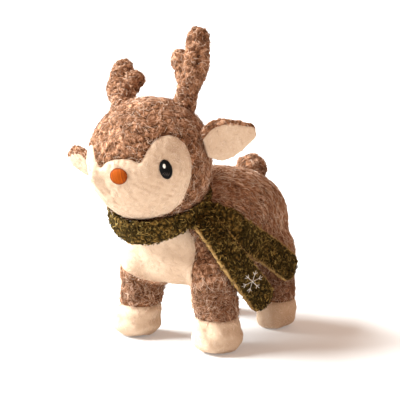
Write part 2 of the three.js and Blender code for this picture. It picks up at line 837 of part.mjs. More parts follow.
const model = new THREE.Group();
const finishes = {
  brownWool: { color: 0x7d5a44, roughness: 0.95, metalness: 0 },
  creamWool: { color: 0xe9d6bd, roughness: 0.95, metalness: 0 },
  scarfWool: { color: 0x4a3f1a, roughness: 0.95, metalness: 0 },
  stuffing: { color: 0xf4f2ee, roughness: 1, metalness: 0 },
  blackThread: { color: 0x17161a, roughness: 0.5, metalness: 0 },
  whiteThread: { color: 0xf2efe8, roughness: 0.6, metalness: 0 },
  orangeThread: { color: 0xd2690f, roughness: 0.6, metalness: 0 },
};

function add(name, solid, finish, parent = model) {
  const mesh = new THREE.Mesh(geometryOf(solid), new THREE.MeshStandardMaterial(finishes[finish]));
  mesh.name = name;
  parent.add(mesh);
  return mesh;
}

// Body
const tailRoom = {
  ballRadius: tailBallRadius,
  shaftRadius: tailHalfWidth * tailSleeveShare,
  shaftLength: tailLength + tailHalfDepth,
  degrees: tailSwingDegrees,
  sides: tailSides,
};
const bodyCutters = [
  headHollow,
  ...Object.values(legs).map(legPocket),
  moved(pocket(tailRoom), placing(tailRoot, tailTurn)),
];
const bodySkin = cutBy(bodyForm(0, bodySides).subtract(bodyForm(-woolSkin, innerBodySides)), bodyCutters);
add('body_shell', bodySkin.subtract(bibPrism(0)), 'brownWool');
add('belly_panel', bodySkin.intersect(bibPrism(seamGap)), 'creamWool');
const bodyFilling = bodyForm(-woolSkin - seamGap, innerBodySides);
add('body_stuffing', cutBy(bodyFilling, [...bodyCutters, neckPlug(runningGap)]), 'stuffing');
add('neck_stuffing', neckPlug(0), 'stuffing');

// Legs
for (const [name, limb] of Object.entries(legs)) {
  const leg = new THREE.Group();
  leg.position.copy(limb.root);
  model.add(leg);
  const skin = legForm(0, limb, legSides).subtract(legForm(-woolSkin, limb, innerLegSides));
  const seam = limb.seamHeight - hipHeight;
  const aboveMiddle = new THREE.Vector3(0, 0, seam + (cutterSize + seamGap) / 2);
  const above = boxSolid(cutterSize, cutterSize, cutterSize, aboveMiddle);
  const footHeight = limb.seamHeight - seamGap / 2;
  const footMiddle = new THREE.Vector3(0, 0, footHeight / 2 - hipHeight);
  const below = boxSolid(cutterSize, cutterSize, footHeight, footMiddle);
  add(`${name}_leg`, skin.intersect(above), 'brownWool', leg);
  add(`${name}_foot`, skin.intersect(below), 'creamWool', leg);
  add(`${name}_leg_stuffing`, legForm(-woolSkin - seamGap, limb, innerLegSides), 'stuffing', leg);
}

// Head
const head = new THREE.Group();
head.position.copy(headCentre);
head.quaternion.copy(headTurn);
model.add(head);
const antlerRoom = {
  ballRadius: antlerBallRadius,
  shaftRadius: antlerWaistRadius,
  shaftLength: antlerLength * antlerRoomShare,
  degrees: antlerSwingDegrees,
  sides: antlerSides,
};
const towardsNeck = neckAxis.clone().negate().applyQuaternion(headTurn.clone().invert());
const openingTurn = new THREE.Quaternion().setFromUnitVectors(back, towardsNeck);
const openingRod = new THREE.CylinderGeometry(headOpeningRadius, headOpeningRadius, headRadius, plugSides);
openingRod.applyMatrix4(placing(towardsNeck.multiplyScalar(headRadius), openingTurn));
const neckOpening = solidOf(openingRod);
const headCutters = Object.values(antlerRoots).map((root) => moved(pocket(antlerRoom), antlerPlace(root)));
const headSkin = cutBy(headForm(0).subtract(innerHead(-woolSkin)), [...headCutters, neckOpening]);
add('head_shell', headSkin.subtract(faceCone(0)), 'brownWool', head);
add('face_panel', headSkin.intersect(faceCone(seamGap)), 'creamWool', head);
add('head_stuffing', cutBy(innerHead(-woolSkin - seamGap), headCutters), 'stuffing', head);

// Antlers, open at the root where they are sewn on
for (const [side, root] of Object.entries(antlerRoots)) {
  const antler = new THREE.Group();
  antler.applyMatrix4(antlerPlace(root));
  head.add(antler);
  const keptMiddle = new THREE.Vector3(0, 0, cutterSize / 2 - antlerOpening);
  const kept = boxSolid(cutterSize, cutterSize, cutterSize, keptMiddle);
  const skin = antlerForm(0).subtract(antlerForm(-antlerSkin)).intersect(kept);
  add(`${side}_antler`, skin, 'brownWool', antler);
  add(`${side}_antler_stuffing`, antlerForm(-antlerSkin - seamGap).intersect(kept), 'stuffing', antler);
}

// Tail
const tail = new THREE.Group();
tail.position.copy(tailRoot);
tail.quaternion.copy(tailTurn);
model.add(tail);
add('tail', tailForm(0), 'brownWool', tail);

// Ears
for (const side of [1, -1]) {
  const ear = new THREE.Group();
  ear.applyMatrix4(earPlace(side));
  head.add(ear);
  const name = side > 0 ? 'left' : 'right';
  add(`${name}_ear_back`, earLeaf(1), 'brownWool', ear);
  add(`${name}_ear_lining`, earLeaf(-1), 'creamWool', ear);
}

// Face embroidery
const onFace = (bottom, height, oval) =>
  headForm(bottom + height).subtract(headForm(bottom)).intersect(oval);
for (const side of [1, -1]) {
  const name = side > 0 ? 'left' : 'right';
  const eyeSpot = new THREE.Vector2(side * eyeAside, eyeLift);
  const glintSpot = eyeSpot.clone().add(new THREE.Vector2(-glintAside, glintLift));
  const eye = faceOval(eyeSpot, eyeHalfWidth, eyeHalfHeight, side * eyeLeanDegrees);
  const glint = faceOval(glintSpot, glintRadius, glintHalfHeight, 0);
  add(`${name}_eye`, onFace(seamGap, threadHeight, eye), 'blackThread', head);
  add(`${name}_eye_glint`, onFace(seamGap + threadHeight + seamGap, glintThread, glint), 'whiteThread', head);
}
const nose = faceOval(new THREE.Vector2(0, noseLift), noseHalfWidth, noseHalfHeight, 0);
add('nose', onFace(seamGap, threadHeight, nose), 'orangeThread', head);

// Scarf: the wrapped part, and two strips that hang from the fold under it
const wrapCutters = [
  headHollow,
  bodyForm(seamGap, bodySides),
  ...stripRoom(frontRoute),
  ...stripRoom(rearRoute),
];
const wrap = cutBy(scarfRing().add(scarfStrip(coveredRoute, 0)), wrapCutters);
add('scarf_wrap', mainPiece(wrap), 'scarfWool');

function hungStrip(name, route) {
  const hinge = stripHinge(route);
  const strip = new THREE.Group();
  strip.applyMatrix4(hinge);
  model.add(strip);
  const intoStrip = hinge.clone().invert();
  add(name, moved(scarfStrip(route, 0), intoStrip), 'scarfWool', strip);
  return { strip, intoStrip };
}

const front = hungStrip('scarf_front_tail', frontRoute);
add('snowflake_embroidery', moved(snowflake(), front.intoStrip), 'whiteThread', front.strip);
hungStrip('scarf_rear_tail', rearRoute);

// The whole deer stands on its soles with the middle of its outline over the origin.
const deer = new THREE.Group();
deer.add(model);
const outline = new THREE.Box3().setFromObject(model, true);
const middle = outline.getCenter(new THREE.Vector3());
model.position.set(-middle.x, -middle.y, -outline.min.z);

export default deer;
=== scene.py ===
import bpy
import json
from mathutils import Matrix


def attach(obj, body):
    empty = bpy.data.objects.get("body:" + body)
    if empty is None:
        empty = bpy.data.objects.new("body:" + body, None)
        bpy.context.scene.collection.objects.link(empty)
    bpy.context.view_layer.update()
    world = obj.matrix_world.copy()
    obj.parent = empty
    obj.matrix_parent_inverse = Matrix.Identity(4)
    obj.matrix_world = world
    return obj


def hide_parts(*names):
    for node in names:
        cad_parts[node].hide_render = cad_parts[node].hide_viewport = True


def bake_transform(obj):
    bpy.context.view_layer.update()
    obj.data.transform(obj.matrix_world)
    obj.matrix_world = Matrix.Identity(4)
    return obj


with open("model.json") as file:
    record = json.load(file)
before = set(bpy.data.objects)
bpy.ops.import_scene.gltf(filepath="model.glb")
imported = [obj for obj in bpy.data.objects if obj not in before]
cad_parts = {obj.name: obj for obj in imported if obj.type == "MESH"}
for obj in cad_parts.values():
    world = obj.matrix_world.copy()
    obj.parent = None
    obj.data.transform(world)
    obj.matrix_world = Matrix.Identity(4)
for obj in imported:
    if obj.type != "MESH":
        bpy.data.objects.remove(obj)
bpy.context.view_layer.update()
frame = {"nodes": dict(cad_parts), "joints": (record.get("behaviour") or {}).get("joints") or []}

import json
import logging
import math
from dataclasses import dataclass, field, replace
from enum import Enum
from typing import Any, Callable, Optional, Sequence

import bpy
import numpy as np
from mathutils import Matrix, Vector
from mathutils.bvhtree import BVHTree

LOG = logging.getLogger("plush_deer")
MM = 0.001
Colour = tuple[float, float, float, float]
JOINTS = {joint["name"]: joint for joint in frame["joints"]}


def colour(red: float, green: float, blue: float) -> Colour:
    """Returns a linear colour from display values between 0 and 255.

    Args:
        red: The display value of red.
        green: The display value of green.
        blue: The display value of blue.

    Returns:
        The linear red, green, blue and an alpha of 1.
    """
    linear = [
        value / 255 / 12.92 if value <= 10.3 else ((value / 255 + 0.055) / 1.055) ** 2.4
        for value in (red, green, blue)
    ]
    return (linear[0], linear[1], linear[2], 1.0)


def pivot(name: str) -> Vector:
    """Returns the place of a joint at rest.

    Args:
        name: The joint's name.

    Returns:
        Its place, in metres.
    """
    return Vector(JOINTS[name]["pos_m"])


# ---------------------------------------------------------------- shader maths


class Wire:
    """A socket of a material's node tree that takes part in sums like a number."""

    def __init__(self, graph: "Graph", socket: Any) -> None:
        """Wraps a socket.

        Args:
            graph: The node tree that the socket belongs to.
            socket: The output socket.
        """
        self.graph = graph
        self.socket = socket

    def _math(self, operation: str, first: Any, second: Any = 0.0) -> "Wire":
        """Returns the result of a Math node on two values."""
        return self.graph.node("ShaderNodeMath", {"operation": operation}, {0: first, 1: second})

    def __add__(self, other: Any) -> "Wire":
        """Returns self + other."""
        return self._math("ADD", self, other)

    def __radd__(self, other: Any) -> "Wire":
        """Returns other + self."""
        return self._math("ADD", other, self)

    def __sub__(self, other: Any) -> "Wire":
        """Returns self - other."""
        return self._math("SUBTRACT", self, other)

    def __rsub__(self, other: Any) -> "Wire":
        """Returns other - self."""
        return self._math("SUBTRACT", other, self)

    def __mul__(self, other: Any) -> "Wire":
        """Returns self * other."""
        return self._math("MULTIPLY", self, other)

    def __rmul__(self, other: Any) -> "Wire":
        """Returns other * self."""
        return self._math("MULTIPLY", other, self)

    def held(self) -> "Wire":
        """Returns the value held between 0 and 1."""
        return self._math("MINIMUM", self._math("MAXIMUM", self, 0.0), 1.0)


class Graph:
    """A material and the node tree in it."""

    def __init__(self, name: str) -> None:
        """Makes an empty material.

        Args:
            name: The material's name.
        """
        self.material = bpy.data.materials.new(name)
        self.material.use_nodes = True
        self.tree = self.material.node_tree
        self.tree.nodes.clear()

    def node(
        self,
        kind: str,
        settings: Optional[dict[str, Any]] = None,
        inputs: Optional[dict[Any, Any]] = None,
        output: Any = 0,
    ) -> Wire:
        """Adds any node.

        Args:
            kind: The node's type name.
            settings: Its properties, set first. The key stops holds a ramp's places and colours.
            inputs: Socket names or numbers, with the value or the Wire of each.
            output: The name or number of the output that is returned.

        Returns:
            The chosen output, as a Wire.
        """
        made = self.tree.nodes.new(kind)
        for key, value in (settings or {}).items():
            if key == "stops":
                self._set_stops(made.color_ramp, value)
            else:
                setattr(made, key, value)
        for key, value in (inputs or {}).items():
            socket = made.inputs[key]
            if isinstance(value, Wire):
                self.tree.links.new(value.socket, socket)
            else:
                socket.default_value = value
        return Wire(self, made.outputs[output]) if len(made.outputs) else Wire(self, None)

    @staticmethod
    def _set_stops(ramp: Any, stops: Sequence[tuple[float, Colour]]) -> None:
        """Gives a colour ramp its stops.

        Args:
            ramp: The ramp.
            stops: The place and the colour of each stop, in order.
        """
        while len(ramp.elements) < len(stops):
            ramp.elements.new(0.5)
        for element, (place, shade) in zip(ramp.elements, stops):
            element.position = place
            element.color = shade

    def place(self) -> Wire:
        """Returns the Object coordinates."""
        return self.node("ShaderNodeTexCoord", output="Object")

    def noise(self, size: float, detail: float = 2.0, rough: float = 0.55) -> Wire:
        """Returns soft noise on Object coordinates.

        Args:
            size: The size of a lump, in metres.
            detail: The number of finer layers.
            rough: How strong each finer layer is.

        Returns:
            The noise, between 0 and 1.
        """
        values = {"Vector": self.place(), "Scale": 1.0 / size, "Detail": detail, "Roughness": rough}
        return self.node("ShaderNodeTexNoise", None, values)

    def attribute(self, name: str) -> Wire:
        """Returns a value that the mesh carries."""
        return self.node("ShaderNodeAttribute", {"attribute_name": name}, output="Fac")

    def blended(self, share: Any, first: Any, second: Any) -> Wire:
        """Returns the first colour at share 0 and the second at share 1."""
        settings = {"data_type": "RGBA"}
        return self.node("ShaderNodeMix", settings, {0: share, 6: first, 7: second}, output=2)

    def ramp(self, share: Any, stops: Sequence[tuple[float, Colour]]) -> Wire:
        """Returns the colour of a ramp at a share."""
        return self.node("ShaderNodeValToRGB", {"stops": stops}, {"Fac": share})

    def bump(self, height: Wire, depth: float, strength: float = 1.0) -> Wire:
        """Returns a normal bent by a height that is depth metres at 1."""
        inputs = {"Height": height, "Distance": depth, "Strength": strength}
        return self.node("ShaderNodeBump", None, inputs)

    def finish(self, **values: Any) -> bpy.types.Material:
        """Closes the material with a Principled shader.

        Args:
            values: Socket names, with underscores for spaces, and their values or Wires.

        Returns:
            The material.
        """
        inputs = {name.replace("_", " "): value for name, value in values.items()}
        shader = self.node("ShaderNodeBsdfPrincipled", None, inputs)
        self.node("ShaderNodeOutputMaterial", None, {"Surface": shader})
        return self.material


@dataclass(frozen=True)
class WoolFinish:
    """Felted wool cloth coloured by the nap's height: darker between its clumps as painted shade and
    lighter where the pile stands as painted light, over a random grain of its own.
    """

    name: str
    slot: str
    deep: Colour
    middle: Colour
    high: Colour
    clump: float = 3.2 * MM
    drift: float = 0.12
    relief: float = 0.5 * MM
    lift_share: float = 0.65
    selvedge: Optional[Colour] = None

    def make(self) -> bpy.types.Material:
        """Returns the material."""
        g = Graph(self.name)
        lift = g.attribute("lift")
        grain = g.noise(self.clump * 0.3, 3.0, 0.65)
        patch = g.noise(self.clump * 6.0, 1.0)
        base = 0.1 + self.lift_share / 2
        # The nap's height (lift) darkens the valleys and lightens the raised pile, as painted shade and
        # painted light; grain and patch are the wool's own random tone.
        share = lift * self.lift_share + grain * 1.1 + patch * self.drift * 2.0
        share = (share - base - self.drift).held()
        shade = g.ramp(share, [(0.05, self.deep), (0.45, self.middle), (0.95, self.high)])
        # Lighter colour along the folded long edges of the scarf's strips, broken up by noise.
        if self.selvedge:
            edge_breakup = (g.noise(self.clump * 1.2, 2.0) * 3.0 - 1.0 + grain * 0.8).held()
            shade = g.blended((g.attribute("edge") * edge_breakup).held(), shade, self.selvedge)
        height = grain * 0.6 + g.noise(self.clump * 0.16, 2.0) * 0.4
        return g.finish(
            Base_Color=shade,
            Roughness=0.95,
            Specular_IOR_Level=0.08,
            Normal=g.bump(height, self.relief, 0.8),
        )


@dataclass(frozen=True)
class FibreFinish:
    """Single wool fibres, each with its own shade."""

    name: str
    slot: str
    dark: Colour
    middle: Colour
    light: Colour
    light_from: float = 0.75

    def make(self) -> bpy.types.Material:
        """Returns the material."""
        g = Graph(self.name)
        share = (g.attribute("tint") + g.noise(9.0 * MM, 2.0) * 0.5 - 0.25).held()
        plain = [(0.45, self.middle), (self.light_from, self.middle)]
        stops = [(0.0, self.dark), *plain, (1.0, self.light)]
        return g.finish(Base_Color=g.ramp(share, stops), Roughness=0.85, Specular_IOR_Level=0.12)


@dataclass(frozen=True)
class ThreadFinish:
    """Embroidery thread with a soft gloss along it."""

    name: str
    slot: str
    dark: Colour
    light: Colour
    roughness: float
    gloss: float

    def make(self) -> bpy.types.Material:
        """Returns the material."""
        g = Graph(self.name)
        share = (g.attribute("tint") * 0.7 + g.noise(0.5 * MM, 2.0) * 0.5 - 0.1).held()
        return g.finish(
            Base_Color=g.blended(share, self.dark, self.light),
            Roughness=self.roughness,
            Specular_IOR_Level=self.gloss,
            Normal=g.bump(g.noise(0.25 * MM, 1.0), 0.08 * MM, 0.7),
        )


@dataclass(frozen=True)
class FloorFinish:
    """A pale paper ground."""

    name: str
    shade: Colour
    glow: float = 0.0

    def make(self) -> bpy.types.Material:
        """Returns the material."""
        g = Graph(self.name)
        near = self.shade
        far = (near[0] * 0.99, near[1] * 0.985, near[2] * 0.98, 1.0)
        return g.finish(
            Base_Color=g.blended(g.noise(60 * MM, 2.0), near, far),
            Emission_Color=near,
            Emission_Strength=self.glow,
            Roughness=0.9,
            Specular_IOR_Level=0.1,
        )


# In each wool finish the deep colour is painted shade in the nap's valleys, and the high colour is
# painted light on the raised pile.
BROWN_WOOL = WoolFinish(
    "brown_wool", "brown_wool", colour(37, 19, 9), colour(134, 90, 62), colour(207, 160, 128)
)
CREAM_WOOL = WoolFinish(
    "cream_wool",
    "cream_wool",
    colour(182, 154, 129),
    colour(190, 163, 138),
    colour(205, 183, 161),
    clump=2.6 * MM,
    drift=0.05,
    relief=0.3 * MM,
    lift_share=0.2,
)
SCARF_WOOL = WoolFinish(
    "scarf_wool",
    "scarf_wool",
    colour(10, 6, 1),
    colour(58, 42, 12),
    colour(141, 107, 53),
    clump=2.8 * MM,
    selvedge=colour(166, 132, 84),
)
FILLING = WoolFinish(
    "fibre_filling", "stuffing", colour(205, 202, 196), colour(232, 230, 226), colour(246, 245, 242)
)
BROWN_FIBRE = FibreFinish(
    "brown_fibre", "brown_wool", colour(54, 28, 14), colour(148, 102, 73), colour(236, 204, 178)
)
WISP_FIBRE = FibreFinish(
    "brown_wisp", "brown_wool", colour(150, 108, 80), colour(200, 160, 132), colour(240, 214, 192)
)
CREAM_FIBRE = FibreFinish(
    "cream_fibre", "cream_wool", colour(212, 184, 158), colour(224, 200, 176), colour(244, 228, 212)
)
SCARF_FIBRE = FibreFinish(
    "scarf_loop", "scarf_wool", colour(8, 6, 1), colour(68, 53, 17), colour(176, 146, 84), 0.7
)
BLACK_THREAD = ThreadFinish("black_thread", "black_thread", colour(2, 2, 3), colour(9, 8, 9), 0.5, 0.12)
# Grey thread that paints the reflection of light on the black eye stitches.
SHEEN_THREAD = ThreadFinish(
    "grey_thread", "black_thread", colour(88, 78, 72), colour(126, 114, 104), 0.5, 0.3
)
WHITE_THREAD = ThreadFinish(
    "white_thread", "white_thread", colour(222, 208, 196), colour(250, 244, 236), 0.5, 0.3
)
ORANGE_THREAD = ThreadFinish(
    "orange_thread", "orange_thread", colour(104, 40, 1), colour(192, 90, 4), 0.7, 0.12
)
ORANGE_RIM = ThreadFinish(
    "orange_rim_thread", "orange_thread", colour(84, 30, 2), colour(118, 46, 4), 0.7, 0.12
)


# ------------------------------------------------------------------ mesh tools


def unit(rows: np.ndarray) -> np.ndarray:
    """Returns vectors, which lie along the last axis, at a length of 1."""
    return rows / np.maximum(np.linalg.norm(rows, axis=-1, keepdims=True), 1e-12)


def along_skin(way: np.ndarray, normal: np.ndarray) -> np.ndarray:
    """Returns directions turned so that they lie along the skin, at a length of 1.

    Args:
        way: The directions.
        normal: The skin's unit direction at each.

    Returns:
        One unit direction for each.
    """
    return unit(way - normal * (way * normal).sum(axis=1, keepdims=True))


@dataclass
class Skin:
    """A triangle mesh as arrays, in metres, with how high each point lies in the nap."""

    points: np.ndarray
    faces: np.ndarray
    lift: np.ndarray = field(default_factory=lambda: np.zeros(0))

    def normals(self) -> np.ndarray:
        """Finds how each point faces.

        Returns:
            The unit normal at each point.
        """
        a, b, c = (self.points[self.faces[:, i]] for i in range(3))
        across = np.cross(b - a, c - a)
        total = np.zeros_like(self.points)
        for i in range(3):
            np.add.at(total, self.faces[:, i], across)
        return unit(total)

    def tree(self) -> BVHTree:
        """Returns a search tree of the faces."""
        return BVHTree.FromPolygons(self.points.tolist(), self.faces.tolist())

    def areas(self) -> np.ndarray:
        """Returns the area of each face."""
        a, b, c = (self.points[self.faces[:, i]] for i in range(3))
        return np.linalg.norm(np.cross(b - a, c - a), axis=1) / 2

    def kept(self, faces: np.ndarray) -> "Skin":
        """Returns the skin with only these faces.

        Args:
            faces: Rows of three point numbers.

        Returns:
            A skin without unused points.
        """
        used, back = np.unique(faces, return_inverse=True)
        lift = self.lift[used] if len(self.lift) else self.lift
        return Skin(self.points[used], back.reshape(-1, 3), lift)

    def split(self, values: np.ndarray) -> tuple["Skin", "Skin"]:
        """Cuts the skin along the line where a value on its points passes zero.

        Args:
            values: One value for each point.

        Returns:
            The part where the value is positive, and the part where it isn't.
        """
        values = np.where(np.abs(values) < 1e-7, 1e-7, values)
        points = [self.points]
        lift = [self.lift] if len(self.lift) else []
        corner = {}
        positive, negative = [], []
        sign = values > 0
        count = sign[self.faces].sum(axis=1)
        positive.extend(self.faces[count == 3])
        negative.extend(self.faces[count == 0])
        total = len(self.points)

        def crossing(one: int, other: int) -> int:
            """Finds the point where the value is zero between two points.

            Args:
                one: The number of a point on one side.
                other: The number of a point on the other side.

            Returns:
                The number of the new point.
            """
            nonlocal total
            key = (one, other) if one < other else (other, one)
            if key not in corner:
                share = values[key[0]] / (values[key[0]] - values[key[1]])
                points.append((self.points[key[0]] * (1 - share) + self.points[key[1]] * share)[None])
                if lift:
                    lift.append(np.array([self.lift[key[0]] * (1 - share) + self.lift[key[1]] * share]))
                corner[key] = total
                total += 1
            return corner[key]

        for face in self.faces[(count == 1) | (count == 2)]:
            alone = sign[face].sum() == 1
            spin = int(np.argmax(sign[face] == alone))
            first, second, third = (int(face[(spin + i) % 3]) for i in range(3))
            low, high = crossing(first, second), crossing(first, third)
            tip = [[first, low, high]]
            rest = [[low, second, third], [low, third, high]]
            positive.extend(tip if alone else rest)
            negative.extend(rest if alone else tip)
        whole = Skin(np.concatenate(points), self.faces, np.concatenate(lift) if lift else self.lift)
        return whole.kept(np.array(positive)), whole.kept(np.array(negative))


class Bench:
    """The workbench: adds, shapes and finishes pieces with Blender's own tools."""

    @staticmethod
    def added(make: Callable[..., Any], **settings: Any) -> bpy.types.Object:
        """Returns the object that one of Blender's adding tools makes.

        Args:
            make: The tool.
            settings: Its settings.

        Returns:
            The new object.
        """
        bpy.ops.object.select_all(action="DESELECT")
        make(**settings)
        return bpy.context.object

    @staticmethod
    def placed(name: str, data: Any) -> bpy.types.Object:
        """Returns a new object in the scene that shows a mesh or other data.

        Args:
            name: The object's name.
            data: What it shows.

        Returns:
            The object.
        """
        piece = bpy.data.objects.new(name, data)
        bpy.context.scene.collection.objects.link(piece)
        return piece

    @staticmethod
    def joined(pieces: Sequence[bpy.types.Object]) -> bpy.types.Object:
        """Selects some pieces alone, and joins them where they are several.

        Args:
            pieces: The pieces.

        Returns:
            The first piece, which holds the others.
        """
        bpy.ops.object.select_all(action="DESELECT")
        for piece in pieces:
            piece.select_set(True)
        bpy.context.view_layer.objects.active = pieces[0]
        if len(pieces) > 1:
            bpy.ops.object.join()
        return pieces[0]

    @staticmethod
    def modify(piece: bpy.types.Object, kind: str, **settings: Any) -> None:
        """Adds a modifier and applies it.

        Args:
            piece: The piece.
            kind: The modifier's type.
            settings: The modifier's properties.
        """
        Bench.joined([piece])
        bpy.ops.object.modifier_add(type=kind)
        modifier = piece.modifiers[-1]
        for key, value in settings.items():
            setattr(modifier, key, value)
        bpy.ops.object.modifier_apply(modifier=modifier.name)

    @staticmethod
    def copied(name: str, nodes: Sequence[str]) -> bpy.types.Object:
        """Copies the solids of some nodes into one new piece with merged corners.

        Args:
            name: The new piece's name.
            nodes: The nodes to copy.

        Returns:
            The new piece.
        """
        parts = [Bench.placed(name, frame["nodes"][node].data.copy()) for node in nodes]
        for part in parts:
            part.data.materials.clear()
        whole = Bench.joined(parts)
        bpy.ops.object.mode_set(mode="EDIT")
        bpy.ops.mesh.select_all(action="SELECT")
        bpy.ops.mesh.remove_doubles(threshold=0.01 * MM)
        bpy.ops.object.mode_set(mode="OBJECT")
        return whole

    @staticmethod
    def remeshed(piece: bpy.types.Object, voxel: float, rounds: int, swell: float = 0.0) -> None:
        """Makes a soft even skin round a piece, without what lies inside it.

        Args:
            piece: The piece.
            voxel: The size of a cell.
            rounds: How often the skin is smoothed.
            swell: How far the piece grows first and shrinks afterwards, so that gaps close.
        """
        if swell:
            Bench.modify(piece, "DISPLACE", strength=swell, mid_level=0.0)
        Bench.modify(piece, "REMESH", mode="VOXEL", voxel_size=voxel)
        Bench.modify(piece, "SMOOTH", factor=0.5, iterations=rounds)
        if swell:
            Bench.modify(piece, "DISPLACE", strength=-swell, mid_level=0.0)
        Bench.keep_largest(piece)

    @staticmethod
    def keep_largest(piece: bpy.types.Object) -> None:
        """Drops all but the largest connected part of a piece.

        Args:
            piece: The piece, whose mesh is replaced where it has more than one part.
        """
        skin = Bench.skin(piece)
        label = np.arange(len(skin.points))
        while True:
            low = label[skin.faces].min(axis=1)
            fresh = label.copy()
            for i in range(3):
                np.minimum.at(fresh, skin.faces[:, i], low)
            fresh = fresh[fresh]
            if (fresh == label).all():
                break
            label = fresh
        names, counts = np.unique(label[skin.faces[:, 0]], return_counts=True)
        if len(names) > 1:
            keep = skin.kept(skin.faces[label[skin.faces[:, 0]] == names[np.argmax(counts)]])
            Bench.refill(piece, keep)

    @staticmethod
    def skin(piece: bpy.types.Object) -> Skin:
        """Returns a piece's mesh as arrays.

        Args:
            piece: The piece.

        Returns:
            Its points and its triangles.
        """
        mesh = piece.data
        mesh.calc_loop_triangles()
        points = np.empty(len(mesh.vertices) * 3)
        mesh.vertices.foreach_get("co", points)
        faces = np.empty(len(mesh.loop_triangles) * 3, np.int32)
        mesh.loop_triangles.foreach_get("vertices", faces)
        return Skin(points.reshape(-1, 3), faces.reshape(-1, 3))

    @staticmethod
    def filled(
        mesh: bpy.types.Mesh, points: np.ndarray, corners: np.ndarray, sizes: np.ndarray
    ) -> None:
        """Fills an empty mesh from arrays.

        Args:
            mesh: The mesh.
            points: The places of its points.
            corners: The point number of each face's corners, one face after the other.
            sizes: The number of corners of each face.
        """
        mesh.vertices.add(len(points))
        mesh.vertices.foreach_set("co", points.astype(np.float32).ravel())
        mesh.loops.add(len(corners))
        mesh.loops.foreach_set("vertex_index", corners.astype(np.int32))
        mesh.polygons.add(len(sizes))
        starts = np.concatenate([[0], np.cumsum(sizes)[:-1]]).astype(np.int32)
        mesh.polygons.foreach_set("loop_start", starts)
        mesh.polygons.foreach_set("use_smooth", np.ones(len(sizes), bool))
        mesh.update(calc_edges=True)

    @staticmethod
    def mesh_of(name: str, skin: Skin) -> bpy.types.Mesh:
        """Returns a new mesh with a skin's points, faces and lift.

        Args:
            name: The mesh's name.
            skin: The skin.

        Returns:
            The mesh.
        """
        mesh = bpy.data.meshes.new(name)
        Bench.filled(mesh, skin.points, skin.faces.ravel(), np.full(len(skin.faces), 3))
        Bench.carry(mesh, "lift", skin.lift)
        return mesh

    @staticmethod
    def refill(piece: bpy.types.Object, skin: Skin) -> None:
        """Gives a piece a new mesh from arrays.

        Args:
            piece: The piece, whose old mesh is removed.
            skin: The arrays.
        """
        old = piece.data
        piece.data = Bench.mesh_of(piece.name, skin)
        bpy.data.meshes.remove(old)

    @staticmethod
    def carry(mesh: bpy.types.Mesh, name: str, values: np.ndarray) -> None:
        """Stores one value for each point of a mesh, if there are any.

        Args:
            mesh: The mesh.
            name: The attribute's name.
            values: The values.
        """
        if len(values):
            layer = mesh.attributes.new(name, "FLOAT", "POINT")
            layer.data.foreach_set("value", values.astype(np.float32))

    @staticmethod
    def new(name: str, skin: Skin) -> bpy.types.Object:
        """Returns a new piece made from arrays."""
        return Bench.placed(name, Bench.mesh_of(name, skin))

    @staticmethod
    def threaded(
        name: str, shape: tuple[np.ndarray, np.ndarray, np.ndarray], uv: np.ndarray, tint: np.ndarray
    ) -> bpy.types.Object:
        """Returns a piece of strands with a map that gives each strand its own cell.

        Args:
            name: The piece's name.
            shape: The points, the corners of all faces and the number of corners of each face.
            uv: The place of each corner on the map.
            tint: The shade of each point, from 0 for dark to 1 for light.

        Returns:
            The piece.
        """
        mesh = bpy.data.meshes.new(name)
        Bench.filled(mesh, *shape)
        mesh.uv_layers.new(name="OFBake").data.foreach_set("uv", uv.astype(np.float32).ravel())
        Bench.carry(mesh, "tint", tint)
        return Bench.placed(name, mesh)


class Texture(Enum):
    """The procedural textures that shape a cloth's surface."""

    CLOUDS = "CLOUDS"
    CELLS = "VORONOI"


@dataclass(frozen=True)
class Nap:
    """How the surface of a cloth rises and falls, as layers of texture, size and depth."""

    layers: tuple[tuple[Texture, float, float], ...]
    stretch: float = 1.0
    flow: tuple[float, float, float] = (0.0, 0.0, 1.0)

    def pressed(self, piece: bpy.types.Object) -> tuple[np.ndarray, np.ndarray]:
        """Presses the nap into a copy of a piece.

        Args:
            piece: The piece, smooth and finely divided. It stays as it is.

        Returns:
            The places of its points under the nap, and how high each stands between 0 and 1.
        """
        probe = Bench.placed("nap_probe", piece.data.copy())
        turn = Vector(self.flow).to_track_quat("Z", "Y").to_euler()
        comb = Bench.added(bpy.ops.object.empty_add, rotation=turn)
        comb.scale = (1.0, 1.0, self.stretch)
        bpy.context.view_layer.update()
        before = Bench.skin(probe)
        normals = before.normals()
        for number, (kind, size, depth) in enumerate(self.layers):
            texture = bpy.data.textures.new(f"nap_layer_{number}", kind.value)
            texture.noise_scale = size
            if kind is Texture.CLOUDS:
                texture.noise_depth = 2
            Bench.modify(
                probe,
                "DISPLACE",
                texture=texture,
                strength=depth,
                mid_level=0.5,
                texture_coords="OBJECT",
                texture_coords_object=comb,
            )
            bpy.data.textures.remove(texture)
        after = Bench.skin(probe).points
        bpy.data.objects.remove(probe)
        bpy.data.objects.remove(comb)
        height = ((after - before.points) * normals).sum(axis=1)
        low, high = np.percentile(height, [3, 97])
        return after, np.clip((height - low) / max(high - low, 1e-9), 0, 1)


